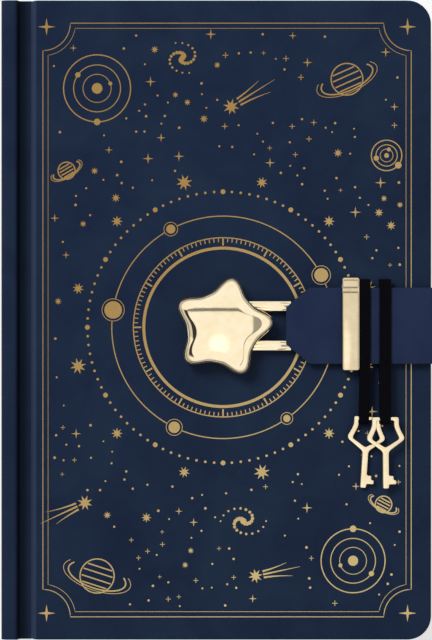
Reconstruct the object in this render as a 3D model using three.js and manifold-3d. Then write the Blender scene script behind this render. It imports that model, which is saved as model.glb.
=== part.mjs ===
// A casebound lock diary, lying on its back cover with its strap locked over the front.
// Millimetres, +Z up. The spine is towards -X, the fore edge towards +X, the head towards +Y.
// Places are measured from the centre of the front cover, and the whole diary is then moved
// sideways so that its own middle stands at the origin.
import * as THREE from "three";
import { mergeVertices } from "three/addons/utils/BufferGeometryUtils.js";
import Module from "manifold-3d";

const wasm = await Module();
wasm.setup();

// Case: boards, wrap and spine
const coverWidth = 141.3; // spine face to fore edge
const coverHeight = 210; // head to tail
const coverCornerRadius = 7.8; // at the fore edge only
const coverEdgeRound = 0.9; // how far the wrap rounds the board's edge
const wrapThickness = 0.5;
const turnInThickness = 0.4; // the wrap's margin that is folded in over the board
const turnInWidth = 14;
const boardThickness = 2.3;
const boardEdgeRound = 0.3;
const pastedownThickness = 0.25;
const pastedownInset = 2.8;
const glueLine = 0.05; // film of glue between flat layers
const shoulderWidth = 4.85; // spine face to the hinge groove
const grooveWidth = 4.8;
const grooveDepth = 2.6;
const grooveSlope = 1.0; // sideways run of the groove's bank on the spine side
const shoulderDrop = 0.4; // how far the shoulder lies below the cover's face
const spineBoardThickness = 3.2;
const spineCornerRadius = 1.8; // of the wrap's middle layer
const hingeClearance = 0.3; // hinge cloth to the board that swings beside it
const spineEndThickness = 0.5; // wrap turned over the spine board's two ends

// Text block
const signatureCount = 8;
const signatureThickness = 1.8;
const signatureGap = 0.05;
const flyleafThickness = 0.25;
const leafClearance = 0.1; // text block to each cover
const coverSquare = 3.2; // how far the covers overhang the leaves
const pageCornerRadius = 6.4;
const spineLiningThickness = 0.4;
const headbandRadius = 0.95;

// Strap: a tongue in the back cover, a side run up the fore edge, and the front run
const strapWidth = 24.9;
const strapCentreY = -1.9;
const strapLayer = 0.5;
const strapFrontLength = 47.75; // nose to the cover's fore edge
const strapNoseWidth = 15;
const strapNoseLength = 7.7; // the nose narrows over this length
const strapStandOff = 0.35; // side run to the covers' edges
const foldClearance = 0.3; // round fold to the flat run beside it
const tongueLength = 30;
const tongueThickness = 0.8;
const tongueClearance = 0.1; // tongue to the pocket in the board

// Hasp loop: a closed metal ring clamped in the strap's nose
const loopLegSpacing = 12.9; // between the legs' middles
const loopLegWidth = 3.4;
const loopThickness = 1.6;
const loopCrossbarWidth = 3;
const loopCrossbarInset = 2.2; // crossbar's inner edge from the lock's middle
const loopTailLength = 8;
const loopTailThickness = 0.5;
const loopTailBarWidth = 4;
const loopTailRoot = 2; // how far the tail reaches back into the legs
const loopTailNarrowing = 0.6; // on each side of a leg
const loopCornerRadius = 0.85;

// Keeper: a metal ring round the strap
const keeperFromNose = 18.3; // strap's nose to the keeper's near side
const keeperWidth = 5.6;
const keeperSideWall = 1.7;
const keeperFrontThickness = 1.1;
const keeperBackThickness = 0.9;
const keeperClearance = 0.35; // above, under and at the lower side of the strap
const keeperSlack = 1.6; // above the strap's upper side
const keeperCornerRadius = 0.7;

// Key loops: flat elastic round the strap and through the key's bow
const keyLoopThickness = 0.5;
const keyLoopClearance = 0.25; // elastic to the strap and to the bow's bar
const keyLoopOverhang = 2.8; // how far it stands above the strap's upper side
const keyLoopSplit = 2.4; // under the strap's lower side, where the hanging run starts to swing
const keyLoopHang = 17.3; // strap's lower side to the top of the key's bow
const keyLoopSlack = 0.4; // elastic's turn under the bow's bar
const keyLoopEndFlat = 0.02; // straight width left at the tip of the loop's round end
const keyLoop1Width = 3.2;
const keyLoop2Width = 3.6;
const keyLoops = [
  { width: keyLoop1Width, fromKeeper: 0.3, lean: 4.0, keyLean: -7.75 },
  { width: keyLoop2Width, fromKeeper: 6.65, lean: 0.0, keyLean: 0.5 },
];

// Keys
const keyThickness = 1.1;
const keyGap = 0.2; // lower key's loop to the upper key
const bowTopWidth = 8.8;
const bowWidth = 13;
const bowTopBar = 1.5;
const bowWire = 1.7;
const bowNeck = 3; // upright stretch below the top
const bowShoulder = 6.5; // top of the bow down to its widest line
const bowLength = 10.7;
const bowVee = 1.1; // metal under the lowest point of the bow's hole
const shankWidth = 2.0;
const shankLength = 12.7;
const bitReach = 2.4; // past the side of the shank
const bitLength = 3.0;
const bitStep = 0.9;
const bitFromEnd = 1.8;

// Star lock
const starArms = 5;
const starCentreX = 2.3;
const starCentreY = -2.4;
const starTipRadius = 16.5;
const starNotchRadius = 11.9;
const starFlankRadius = 13.5; // halfway between a tip and a notch
const starTurn = 78.6; // direction of the first tip, in degrees
const starWallHeight = 5.4;
const starDomeHeight = 3.4;
const starWall = 1.0;
const starSegments = 70;
const starSeat = 0.15; // shell and base plate above the cover
const mouthClearance = 0.35;
const basePlateThickness = 0.8;
const basePlateClearance = 0.3;
const plugRadius = 1.8;
const plugClearance = 0.15;
const plugOffsetY = -0.5; // plug's axis from the lock's middle
const plugFrontInset = 9.8; // lock's middle to the plug's outer end
const plugBackInset = 1.5; // lock's middle to the plug's inner end
const cradleFloor = 0.4;
const cradleHalfWidth = 2.7;
const cradleFrontInset = 8.2;
const cradleBackInset = 0.5;
const cradleGrip = 1.2; // how far the cradle's sides rise past the plug's axis
const keywayWidth = 0.9;
const keywayHeight = 1.5;
const keywayDepth = 8;
const shankBore = 0.95;
const pinRadius = 0.45;
const pinCircle = 1.35; // cam pin's distance from the plug's axis
const pinAngle = 45; // cam pin's lean from upright while locked, in degrees
const boltWidth = 2.8;
const boltThickness = 1.3;
const boltLength = 7.95;
const boltThrow = 1.1; // how far the locked bolt reaches into the loop's upper leg
const boltClearance = 0.3;
const boltToCrossbar = 0.9;
const forkWidth = 1.5;
const forkHalfLength = 1.6;
const forkSlot = 1.3;
const rivetCircle = 12;
const rivetRadius = 1.0;
const rivetHeadRadius = 1.6;
const rivetHeadThickness = 0.45;
const rivetClearance = 0.15;
const rivetArms = [0, 1, 2, 3]; // arms that carry a rivet, counted from the first tip
const clinchPlateRadius = 14.5;
const clinchPlateThickness = 0.4;

// Cutting and welding
const cutOverrun = 1; // how far a cutter passes the faces that it opens
const weldDistance = 1e-4;

// Materials
const material = (color, roughness, metalness = 0) =>
  new THREE.MeshStandardMaterial({ color, roughness, metalness });
const coverWrapMaterial = material("#1d2739", 0.62);
const strapMaterial = material("#232d46", 0.58);
const liningMaterial = material("#1a2133", 0.75);
const boardMaterial = material("#8f8a80", 0.95);
const endpaperMaterial = material("#efe9da", 0.9);
const pageMaterial = material("#f1ecdf", 0.92);
const clothMaterial = material("#d9d4c6", 0.95);
const headbandMaterial = material("#c9ad6a", 0.8);
const goldMaterial = material("#e6cf9f", 0.24, 1);
const brassMaterial = material("#c9a863", 0.35, 1);
const steelMaterial = material("#a9abad", 0.4, 1);
const elasticMaterial = material("#0b0b10", 0.85);

// Derived heights, from the back cover's outer face upwards
const boardDepth = wrapThickness + glueLine;
const turnInDepth = boardDepth + boardThickness + glueLine;
const pastedownDepth = turnInDepth + turnInThickness + glueLine;
const coverThickness = pastedownDepth + pastedownThickness;
const backFlyleafBottom = coverThickness + leafClearance;
const blockBottom = backFlyleafBottom + flyleafThickness + signatureGap;
const signaturePitch = signatureThickness + signatureGap;
const blockTop = blockBottom + signatureCount * signaturePitch - signatureGap;
const frontFlyleafBottom = blockTop + signatureGap;
const coverTop = frontFlyleafBottom + flyleafThickness + leafClearance + coverThickness;

// Derived places across the case
const spineFace = -coverWidth / 2;
const foreEdge = coverWidth / 2;
const halfHeight = coverHeight / 2;
const grooveStart = spineFace + shoulderWidth;
const boardEdge = grooveStart + grooveWidth;
const spineBoardLeft = spineFace + wrapThickness + glueLine;
const spineBoardRight = spineBoardLeft + spineBoardThickness;
const liningLeft = spineBoardRight + glueLine;
const blockLeft = liningLeft + spineLiningThickness + glueLine;
const blockRight = foreEdge - coverSquare;
const pageHalfHeight = halfHeight - coverSquare;

// Derived places of the strap
const strapThickness = 3 * strapLayer + 2 * glueLine;
const strapLift = keeperBackThickness + 2 * keeperClearance;
const strapBottom = coverTop + strapLift;
const strapMiddle = strapBottom + strapThickness / 2;
const strapTop = strapBottom + strapThickness;
const strapNose = foreEdge - strapFrontLength;
const strapUpperSide = strapCentreY + strapWidth / 2;
const strapLowerSide = strapCentreY - strapWidth / 2;
const foldX = foreEdge + strapStandOff + strapThickness / 2;
const foldEnd = foldX - strapThickness / 2 - foldClearance;
const tongueMiddle = turnInDepth - glueLine - tongueThickness / 2;

// Derived places of the lock
const plateTop = coverTop + starSeat + basePlateThickness;
const plugY = starCentreY + plugOffsetY;
const plugZ = plateTop + glueLine + cradleFloor + plugClearance + plugRadius;
const crossbarLeft = starCentreX + loopCrossbarInset;
const crossbarRight = crossbarLeft + loopCrossbarWidth;
const loopHalfWidth = (loopLegSpacing + loopLegWidth) / 2;
const upperLegInside = strapCentreY + (loopLegSpacing - loopLegWidth) / 2;
const boltLeft = crossbarRight + boltToCrossbar;
const boltRight = boltLeft + boltWidth;
const boltUpperEnd = upperLegInside + boltThrow;
const pinY = plugY + pinCircle * Math.sin(THREE.MathUtils.degToRad(pinAngle));
const pinZ = plugZ + pinCircle * Math.cos(THREE.MathUtils.degToRad(pinAngle));

// A closed three.js geometry as a solid that can be cut and joined
function solidOf(geometry) {
  const bare = geometry.clone();
  bare.deleteAttribute("normal");
  bare.deleteAttribute("uv");
  const merged = mergeVertices(bare, weldDistance);
  const corners = merged.index.array;
  const triVerts = [];
  for (let i = 0; i < corners.length; i += 3) {
    const [a, b, c] = corners.slice(i, i + 3);
    if (a !== b && b !== c && c !== a) {
      triVerts.push(a, b, c);
    }
  }
  return new wasm.Manifold(new wasm.Mesh({
    numProp: 3,
    vertProperties: Float32Array.from(merged.attributes.position.array),
    triVerts: Uint32Array.from(triVerts),
  }));
}

// A named mesh from a solid
function piece(name, solid, finish) {
  const { vertProperties, triVerts } = solid.getMesh();
  const geometry = new THREE.BufferGeometry();
  geometry.setAttribute("position", new THREE.Float32BufferAttribute(vertProperties, 3));
  geometry.setIndex(new THREE.Uint32BufferAttribute(triVerts, 1));
  geometry.computeVertexNormals();
  const mesh = new THREE.Mesh(geometry, finish);
  mesh.name = name;
  return mesh;
}

// A box from its two opposite corners
function boxBetween([x0, y0, z0], [x1, y1, z1]) {
  const geometry = new THREE.BoxGeometry(x1 - x0, y1 - y0, z1 - z0);
  geometry.translate((x0 + x1) / 2, (y0 + y1) / 2, (z0 + z1) / 2);
  return solidOf(geometry);
}

// A flat outline raised along Z, its edges rounded if a radius is given
function slab(shape, bottom, thickness, round = 0) {
  const geometry = new THREE.ExtrudeGeometry(shape, {
    depth: thickness - 2 * round,
    bevelEnabled: round > 0,
    bevelThickness: round,
    bevelSize: round,
    bevelOffset: -round,
    bevelSegments: 3,
    curveSegments: 8,
  });
  geometry.translate(0, 0, bottom + round);
  return solidOf(geometry);
}

// An outline drawn in X and Z, carried along Y
function prismAlongY(shape, y0, y1) {
  const options = { depth: y1 - y0, bevelEnabled: false, curveSegments: 6 };
  const geometry = new THREE.ExtrudeGeometry(shape, options);
  geometry.rotateX(Math.PI / 2);
  geometry.translate(0, y1, 0);
  return solidOf(geometry);
}

// An outline drawn in Y and Z, carried along X
function prismAlongX(shape, x0, x1) {
  const options = { depth: x1 - x0, bevelEnabled: false, curveSegments: 6 };
  const geometry = new THREE.ExtrudeGeometry(shape, options);
  const turn = new THREE.Matrix4().makeBasis(
    new THREE.Vector3(0, 1, 0),
    new THREE.Vector3(0, 0, 1),
    new THREE.Vector3(1, 0, 0),
  );
  geometry.applyMatrix4(turn);
  geometry.translate(x0, 0, 0);
  return solidOf(geometry);
}

// A round bar along Z
function barAlongZ(x, y, z0, z1, radius, sides = 24) {
  const geometry = new THREE.CylinderGeometry(radius, radius, z1 - z0, sides);
  geometry.rotateX(Math.PI / 2);
  geometry.translate(x, y, (z0 + z1) / 2);
  return solidOf(geometry);
}

// A round bar along X
function barAlongX(y, z, x0, x1, radius, sides = 24) {
  const geometry = new THREE.CylinderGeometry(radius, radius, x1 - x0, sides);
  geometry.rotateZ(Math.PI / 2);
  geometry.translate((x0 + x1) / 2, y, z);
  return solidOf(geometry);
}

// A strip of even thickness that follows an open path in a plane
function stripShape(path, thickness, divisions = 4) {
  const isNew = (point, i, all) => i === 0 || point.distanceTo(all[i - 1]) > weldDistance;
  const points = path.getPoints(divisions).filter(isNew);
  const normalAt = (a, b) => new THREE.Vector2(a.y - b.y, b.x - a.x).normalize();
  const sides = points.map((point, i) => {
    const before = normalAt(points[Math.max(i - 1, 0)], points[Math.max(i, 1)]);
    const last = points.length - 1;
    const after = normalAt(points[Math.min(i, last - 1)], points[Math.min(i + 1, last)]);
    const middle = before.clone().add(after).normalize();
    return middle.multiplyScalar(thickness / 2 / middle.dot(before));
  });
  const left = points.map((point, i) => point.clone().add(sides[i]));
  const right = points.map((point, i) => point.clone().sub(sides[i]));
  return new THREE.Shape([...left, ...right.reverse()]);
}

// A sheet or board: square at the spine side, its two fore-edge corners round
function sheetOutline(left, right, halfLength, radius) {
  const shape = new THREE.Shape();
  shape.moveTo(left, -halfLength);
  shape.lineTo(right - radius, -halfLength);
  shape.absarc(right - radius, -halfLength + radius, radius, -Math.PI / 2, 0, false);
  shape.lineTo(right, halfLength - radius);
  shape.absarc(right - radius, halfLength - radius, radius, 0, Math.PI / 2, false);
  shape.lineTo(left, halfLength);
  shape.closePath();
  return shape;
}

// The cover's outline, drawn in by a margin all round
function coverOutline(margin, hingeMargin = margin) {
  const radius = Math.max(coverCornerRadius - margin, 1);
  return sheetOutline(boardEdge + hingeMargin, foreEdge - margin, halfHeight - margin, radius);
}

// A rectangle with round corners
function roundedRectangle(x0, y0, x1, y1, radius) {
  const shape = new THREE.Shape();
  shape.moveTo(x0 + radius, y0);
  shape.lineTo(x1 - radius, y0);
  shape.absarc(x1 - radius, y0 + radius, radius, -Math.PI / 2, 0, false);
  shape.lineTo(x1, y1 - radius);
  shape.absarc(x1 - radius, y1 - radius, radius, 0, Math.PI / 2, false);
  shape.lineTo(x0 + radius, y1);
  shape.absarc(x0 + radius, y1 - radius, radius, Math.PI / 2, Math.PI, false);
  shape.lineTo(x0, y0 + radius);
  shape.absarc(x0 + radius, y0 + radius, radius, Math.PI, Math.PI * 1.5, false);
  return shape;
}

// Bottom height of a cover's layer, given how deep it lies under that cover's outer face
function layerBottom(isFront, depth, thickness) {
  return isFront ? coverTop - depth - thickness : depth;
}

// The wrap of one cover: outer face, edges and turned-in margin, hollow where the board lies
function coverWrap(isFront) {
  const outer = slab(coverOutline(0), layerBottom(isFront, 0, pastedownDepth - glueLine),
    pastedownDepth - glueLine, coverEdgeRound);
  const cavityThickness = boardThickness + 2 * glueLine;
  const cavity = slab(coverOutline(wrapThickness),
    layerBottom(isFront, wrapThickness, cavityThickness), cavityThickness);
  const windowThickness = turnInThickness + 2 * glueLine;
  const window = slab(coverOutline(turnInWidth, wrapThickness + glueLine),
    layerBottom(isFront, turnInDepth - glueLine, windowThickness), windowThickness);
  return outer.subtract(cavity).subtract(window);
}

// The stiff board of one cover
function coverBoard(isFront) {
  return slab(coverOutline(boardDepth), layerBottom(isFront, boardDepth, boardThickness), boardThickness,
    boardEdgeRound);
}

// The endpaper pasted over a cover's inner face
function pastedown(isFront) {
  return slab(coverOutline(pastedownInset, wrapThickness),
    layerBottom(isFront, pastedownDepth, pastedownThickness), pastedownThickness);
}

// The spine board's section in X and Z, with its two outer corners rounded
function spineBoardSection(bottom, top) {
  const radius = spineCornerRadius - wrapThickness / 2;
  const shape = new THREE.Shape();
  shape.moveTo(spineBoardRight, bottom);
  shape.lineTo(spineBoardRight, top);
  shape.lineTo(spineBoardLeft + radius, top);
  shape.absarc(spineBoardLeft + radius, top - radius, radius, Math.PI / 2, Math.PI, false);
  shape.lineTo(spineBoardLeft, bottom + radius);
  shape.absarc(spineBoardLeft + radius, bottom + radius, radius, Math.PI, Math.PI * 1.5, false);
  return shape;
}

// The wrap over the spine, from one hinge groove round the back to the other
function spineWrap() {
  const half = wrapThickness / 2;
  const x = spineFace + half;
  const r = spineCornerRadius;
  const top = coverTop - shoulderDrop - half;
  const bottom = shoulderDrop + half;
  const frontFloor = coverTop - grooveDepth - half;
  const backFloor = grooveDepth + half;
  const end = boardEdge - hingeClearance;
  const path = new THREE.Path();
  path.moveTo(end, frontFloor);
  path.lineTo(grooveStart + grooveSlope, frontFloor);
  path.lineTo(grooveStart, top);
  path.lineTo(x + r, top);
  path.absarc(x + r, top - r, r, Math.PI / 2, Math.PI, false);
  path.lineTo(x, bottom + r);
  path.absarc(x + r, bottom + r, r, Math.PI, Math.PI * 1.5, false);
  path.lineTo(grooveStart, bottom);
  path.lineTo(grooveStart + grooveSlope, backFloor);
  path.lineTo(end, backFloor);
  const skin = prismAlongY(stripShape(path, wrapThickness), -halfHeight, halfHeight);
  const endSection = spineBoardSection(bottom, top);
  const tailEnd = prismAlongY(endSection, -halfHeight, -halfHeight + spineEndThickness);
  const headEnd = prismAlongY(endSection, halfHeight - spineEndThickness, halfHeight);
  return skin.add(tailEnd).add(headEnd);
}

// The board that stiffens the spine, inside its wrap
function spineBoard() {
  const inset = shoulderDrop + wrapThickness + glueLine;
  const end = halfHeight - spineEndThickness - glueLine;
  return prismAlongY(spineBoardSection(inset, coverTop - inset), -end, end);
}

const caseGroup = new THREE.Group();

// Pocket in the back board and slit in its wrap for the strap's tongue
const tongueHalfWidth = strapWidth / 2 + tongueClearance;
const tonguePocket = boxBetween(
  [foreEdge - tongueLength - tongueClearance, strapCentreY - tongueHalfWidth,
    tongueMiddle - tongueThickness / 2 - tongueClearance],
  [foreEdge + coverEdgeRound, strapCentreY + tongueHalfWidth, turnInDepth - glueLine],
);

// The lock's rivets pass through these places
const rivetPlaces = rivetArms.map((arm) => {
  const angle = THREE.MathUtils.degToRad(starTurn + (arm * 360) / starArms);
  return [starCentreX + rivetCircle * Math.cos(angle), starCentreY + rivetCircle * Math.sin(angle)];
});

// Cuts a clearance hole for every rivet
function withRivetHoles(solid, bottom, top) {
  const radius = rivetRadius + rivetClearance;
  const holes = rivetPlaces.map(([x, y]) => barAlongZ(x, y, bottom, top, radius, 16));
  return holes.reduce((rest, hole) => rest.subtract(hole), solid);
}

const underFront = coverTop - coverThickness - cutOverrun;
const backWrap = coverWrap(false).subtract(tonguePocket);
const backBoard = coverBoard(false).subtract(tonguePocket);
const frontWrap = withRivetHoles(coverWrap(true), underFront, coverTop + cutOverrun);
const frontBoard = withRivetHoles(coverBoard(true), underFront, coverTop + cutOverrun);
caseGroup.add(
  piece("back_cover_wrap", backWrap, coverWrapMaterial),
  piece("back_board", backBoard, boardMaterial),
  piece("back_pastedown", pastedown(false), endpaperMaterial),
  piece("spine_wrap", spineWrap(), coverWrapMaterial),
  piece("spine_board", spineBoard(), boardMaterial),
  piece("front_cover_wrap", frontWrap, coverWrapMaterial),
  piece("front_board", frontBoard, boardMaterial),
  piece("front_pastedown", pastedown(true), endpaperMaterial),
);

// Text block: sewn signatures between two flyleaves, lined and banded at the spine
const blockGroup = new THREE.Group();
const pageOutline = sheetOutline(blockLeft, blockRight, pageHalfHeight, pageCornerRadius);
for (let i = 0; i < signatureCount; i += 1) {
  const signature = slab(pageOutline, blockBottom + i * signaturePitch, signatureThickness);
  blockGroup.add(piece(`signature_${i + 1}`, signature, pageMaterial));
}
const liningHalfHeight = pageHalfHeight + 2 * headbandRadius;
const spineLining = boxBetween(
  [liningLeft, -liningHalfHeight, blockBottom],
  [liningLeft + spineLiningThickness, liningHalfHeight, blockTop],
);
const headbandX = blockLeft + headbandRadius;
const headbandY = pageHalfHeight + glueLine + headbandRadius;
blockGroup.add(
  piece("back_flyleaf", slab(pageOutline, backFlyleafBottom, flyleafThickness), endpaperMaterial),
  piece("front_flyleaf", slab(pageOutline, frontFlyleafBottom, flyleafThickness), endpaperMaterial),
  piece("spine_lining", spineLining, clothMaterial),
  piece("headband_top", barAlongZ(headbandX, headbandY, blockBottom, blockTop, headbandRadius, 16),
    headbandMaterial),
  piece("headband_bottom", barAlongZ(headbandX, -headbandY, blockBottom, blockTop, headbandRadius, 16),
    headbandMaterial),
);

// The strap's front run seen from above, from one X to another
function strapOutline(left, right) {
  const half = strapWidth / 2;
  const noseHalf = strapNoseWidth / 2;
  const fullFrom = strapNose + strapNoseLength;
  const shape = new THREE.Shape();
  if (left < fullFrom) {
    const share = (left - strapNose) / strapNoseLength;
    const leftHalf = noseHalf + share * (half - noseHalf);
    shape.moveTo(left, strapCentreY - leftHalf);
    shape.lineTo(fullFrom, strapCentreY - half);
    shape.lineTo(right, strapCentreY - half);
    shape.lineTo(right, strapCentreY + half);
    shape.lineTo(fullFrom, strapCentreY + half);
    shape.lineTo(left, strapCentreY + leftHalf);
  } else {
    shape.moveTo(left, strapCentreY - half);
    shape.lineTo(right, strapCentreY - half);
    shape.lineTo(right, strapCentreY + half);
    shape.lineTo(left, strapCentreY + half);
  }
  shape.closePath();
  return shape;
}

// Half of the strap's side run: a flat layer with a quarter round at each fold
function strapSideLayer(isOuter) {
  const reach = strapThickness / 2;
  const inner = glueLine / 2;
  const sign = isOuter ? 1 : -1;
  const steps = 5;
  const shape = new THREE.Shape();
  shape.moveTo(foldX + sign * inner, tongueMiddle - reach);
  for (let i = 1; i <= steps; i += 1) {
    const angle = (i / steps) * (Math.PI / 2);
    const across = Math.max(reach * Math.sin(angle), inner);
    shape.lineTo(foldX + sign * across, tongueMiddle - reach * Math.cos(angle));
  }
  for (let i = 0; i <= steps; i += 1) {
    const angle = (i / steps) * (Math.PI / 2);
    const across = Math.max(reach * Math.cos(angle), inner);
    shape.lineTo(foldX + sign * across, strapMiddle + reach * Math.sin(angle));
  }
  shape.closePath();
  return prismAlongY(shape, strapLowerSide, strapUpperSide);
}

const strapGroup = new THREE.Group();
const coreLeft = strapNose + loopTailLength + foldClearance;
const strapTongue = boxBetween(
  [foreEdge - tongueLength, strapLowerSide, tongueMiddle - tongueThickness / 2],
  [foldEnd, strapUpperSide, tongueMiddle + tongueThickness / 2 - tongueClearance],
);
const frontLayer = (left, place) =>
  slab(strapOutline(left, foldEnd), strapBottom + place * (strapLayer + glueLine), strapLayer);
strapGroup.add(
  piece("strap_tongue", strapTongue, strapMaterial),
  piece("strap_side_outer", strapSideLayer(true), strapMaterial),
  piece("strap_side_lining", strapSideLayer(false), liningMaterial),
  piece("strap_front_lining", frontLayer(strapNose, 0), liningMaterial),
  piece("strap_front_core", frontLayer(coreLeft, 1), boardMaterial),
  piece("strap_front_outer", frontLayer(strapNose, 2), strapMaterial),
);

// Hasp loop: two legs and a crossbar, with a thin tail held between the strap's layers
function haspLoop() {
  const legEnd = strapNose - foldClearance;
  const bottom = strapMiddle - loopThickness / 2;
  const top = strapMiddle + loopThickness / 2;
  const ring = roundedRectangle(crossbarLeft, strapCentreY - loopHalfWidth,
    legEnd, strapCentreY + loopHalfWidth, loopCornerRadius);
  const openingHalf = (loopLegSpacing - loopLegWidth) / 2;
  const opening = boxBetween(
    [crossbarRight, strapCentreY - openingHalf, bottom - cutOverrun],
    [legEnd + cutOverrun, strapCentreY + openingHalf, top + cutOverrun],
  );
  const notch = boxBetween(
    [boltLeft - boltClearance, upperLegInside - cutOverrun, bottom - cutOverrun],
    [boltRight + boltClearance, boltUpperEnd + boltClearance, top + cutOverrun],
  );
  const tailEnd = strapNose + loopTailLength;
  const tailHalf = loopTailThickness / 2;
  const tongues = [-1, 1].map((side) => {
    const y = strapCentreY + (side * loopLegSpacing) / 2;
    const half = loopLegWidth / 2 - loopTailNarrowing;
    return boxBetween(
      [legEnd - loopTailRoot, y - half, strapMiddle - tailHalf],
      [tailEnd, y + half, strapMiddle + tailHalf],
    );
  });
  const tailBar = boxBetween(
    [tailEnd - loopTailBarWidth, strapCentreY - loopLegSpacing / 2, strapMiddle - tailHalf],
    [tailEnd, strapCentreY + loopLegSpacing / 2, strapMiddle + tailHalf],
  );
  const frame = slab(ring, bottom, loopThickness).subtract(opening).subtract(notch);
  return frame.add(tongues[0]).add(tongues[1]).add(tailBar);
}

// Keeper ring, a little longer than the strap is wide
const keeperLeft = strapNose + keeperFromNose;
const keeperRight = keeperLeft + keeperWidth;
function keeperRing() {
  const innerLow = strapLowerSide - keeperClearance;
  const innerHigh = strapUpperSide + keeperSlack;
  const innerBottom = strapBottom - keeperClearance;
  const innerTop = strapTop + keeperClearance;
  const outline = roundedRectangle(innerLow - keeperSideWall, innerBottom - keeperBackThickness,
    innerHigh + keeperSideWall, innerTop + keeperFrontThickness, keeperCornerRadius);
  const hole = boxBetween(
    [keeperLeft - cutOverrun, innerLow, innerBottom],
    [keeperRight + cutOverrun, innerHigh, innerTop],
  );
  return prismAlongX(outline, keeperLeft, keeperRight).subtract(hole);
}
strapGroup.add(
  piece("hasp_loop", haspLoop(), goldMaterial),
  piece("keeper_ring", keeperRing(), goldMaterial),
);

// Heights of the two keys and of the elastic round their bows
const bowTurnRadius = keyThickness / 2 + keyLoopClearance + keyLoopThickness / 2;
const lowerKeyMiddle = coverTop + keyLoopClearance + keyLoopThickness / 2 + bowTurnRadius;
const upperKeyMiddle = lowerKeyMiddle + bowTurnRadius + keyLoopThickness / 2 + keyGap + keyThickness / 2;
const keyMiddles = [lowerKeyMiddle, upperKeyMiddle];
const bowTopY = strapLowerSide - keyLoopHang;
const bowTurnY = bowTopY - bowTopBar / 2 - keyLoopSlack;
const backRunZ = strapBottom - keyLoopClearance - keyLoopThickness / 2;
const frontRunZ = strapTop + keyLoopClearance + keyLoopThickness / 2;
const splitY = strapLowerSide - keyLoopSplit;

// The part of a key loop that grips the strap, drawn in Y and Z
function gripRun(width, centreX) {
  const turnRadius = (frontRunZ - backRunZ) / 2;
  const turnY = strapUpperSide + keyLoopOverhang - turnRadius - keyLoopThickness / 2;
  const path = new THREE.Path();
  path.moveTo(splitY, backRunZ);
  path.lineTo(turnY, backRunZ);
  path.absarc(turnY, (frontRunZ + backRunZ) / 2, turnRadius, -Math.PI / 2, Math.PI / 2, false);
  path.lineTo(splitY, frontRunZ);
  return prismAlongX(stripShape(path, keyLoopThickness), centreX - width / 2, centreX + width / 2);
}

// The part that hangs from the strap and turns round the bow, drawn about its pivot
function hangingRun(width, pivotY, keyMiddle) {
  const top = splitY - hingeClearance - pivotY;
  const turnY = bowTurnY - pivotY;
  const easeY = turnY + bowTopBar;
  const path = new THREE.Path();
  path.moveTo(top, frontRunZ);
  path.lineTo(easeY, keyMiddle + bowTurnRadius);
  path.lineTo(turnY, keyMiddle + bowTurnRadius);
  path.absarc(turnY, keyMiddle, bowTurnRadius, Math.PI / 2, Math.PI * 1.5, false);
  path.lineTo(easeY, keyMiddle - bowTurnRadius);
  path.lineTo(top, backRunZ);
  const strip = prismAlongX(stripShape(path, keyLoopThickness), -width / 2, width / 2);
  const plan = roundedRectangle(-width / 2, turnY - 2 * bowTurnRadius, width / 2, top,
    (width - keyLoopEndFlat) / 2);
  const low = backRunZ - bowTurnRadius * 2 - keyThickness;
  return strip.intersect(slab(plan, low, frontRunZ + bowTurnRadius * 2 + keyThickness - low));
}

// A flat key with an open bow like the lower half of a star, drawn with the top of its bow at the origin
function keySolid(middle) {
  const half = shankWidth / 2;
  const end = -bowLength - shankLength;
  const bitLow = end + bitFromEnd;
  const bitHigh = bitLow + bitLength;
  const outline = new THREE.Shape();
  outline.moveTo(-bowTopWidth / 2, 0);
  outline.lineTo(-bowTopWidth / 2, -bowNeck);
  outline.lineTo(-bowWidth / 2, -bowShoulder);
  outline.lineTo(-half, -bowLength);
  outline.lineTo(-half, end);
  outline.lineTo(half, end);
  outline.lineTo(half, bitLow);
  outline.lineTo(half + bitReach, bitLow);
  outline.lineTo(half + bitReach, bitLow + bitLength / 2);
  outline.lineTo(half + bitReach - bitStep, bitLow + bitLength / 2);
  outline.lineTo(half + bitReach - bitStep, bitHigh);
  outline.lineTo(half, bitHigh);
  outline.lineTo(half, -bowLength);
  outline.lineTo(bowWidth / 2, -bowShoulder);
  outline.lineTo(bowTopWidth / 2, -bowNeck);
  outline.lineTo(bowTopWidth / 2, 0);
  outline.closePath();
  const hole = new THREE.Path();
  hole.moveTo(-bowTopWidth / 2 + bowWire, -bowTopBar);
  hole.lineTo(bowTopWidth / 2 - bowWire, -bowTopBar);
  hole.lineTo(bowTopWidth / 2 - bowWire, -bowNeck);
  hole.lineTo(bowWidth / 2 - bowWire, -bowShoulder);
  hole.lineTo(0, -bowLength + bowVee);
  hole.lineTo(-bowWidth / 2 + bowWire, -bowShoulder);
  hole.lineTo(-bowTopWidth / 2 + bowWire, -bowNeck);
  hole.closePath();
  outline.holes.push(hole);
  return slab(outline, middle - keyThickness / 2, keyThickness);
}

// Each key hangs in a group that leans about the loop's pivot under the strap
const keyGroup = new THREE.Group();
keyLoops.forEach(({ width, fromKeeper, lean, keyLean }, i) => {
  const number = i + 1;
  const centreX = keeperRight + fromKeeper + width / 2;
  const pivotY = splitY - hingeClearance - width / 2;
  const swing = new THREE.Group();
  swing.position.set(centreX, pivotY, 0);
  swing.rotation.z = THREE.MathUtils.degToRad(lean);
  const key = piece(`key_${number}`, keySolid(keyMiddles[i]), goldMaterial);
  const keyHolder = new THREE.Group();
  keyHolder.position.set(0, bowTopY - pivotY, 0);
  keyHolder.rotation.z = THREE.MathUtils.degToRad(keyLean);
  keyHolder.add(key);
  swing.add(
    piece(`key_loop_${number}_hanging`, hangingRun(width, pivotY, keyMiddles[i]), elasticMaterial),
    keyHolder,
  );
  keyGroup.add(piece(`key_loop_${number}_grip`, gripRun(width, centreX), elasticMaterial), swing);
});

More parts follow.
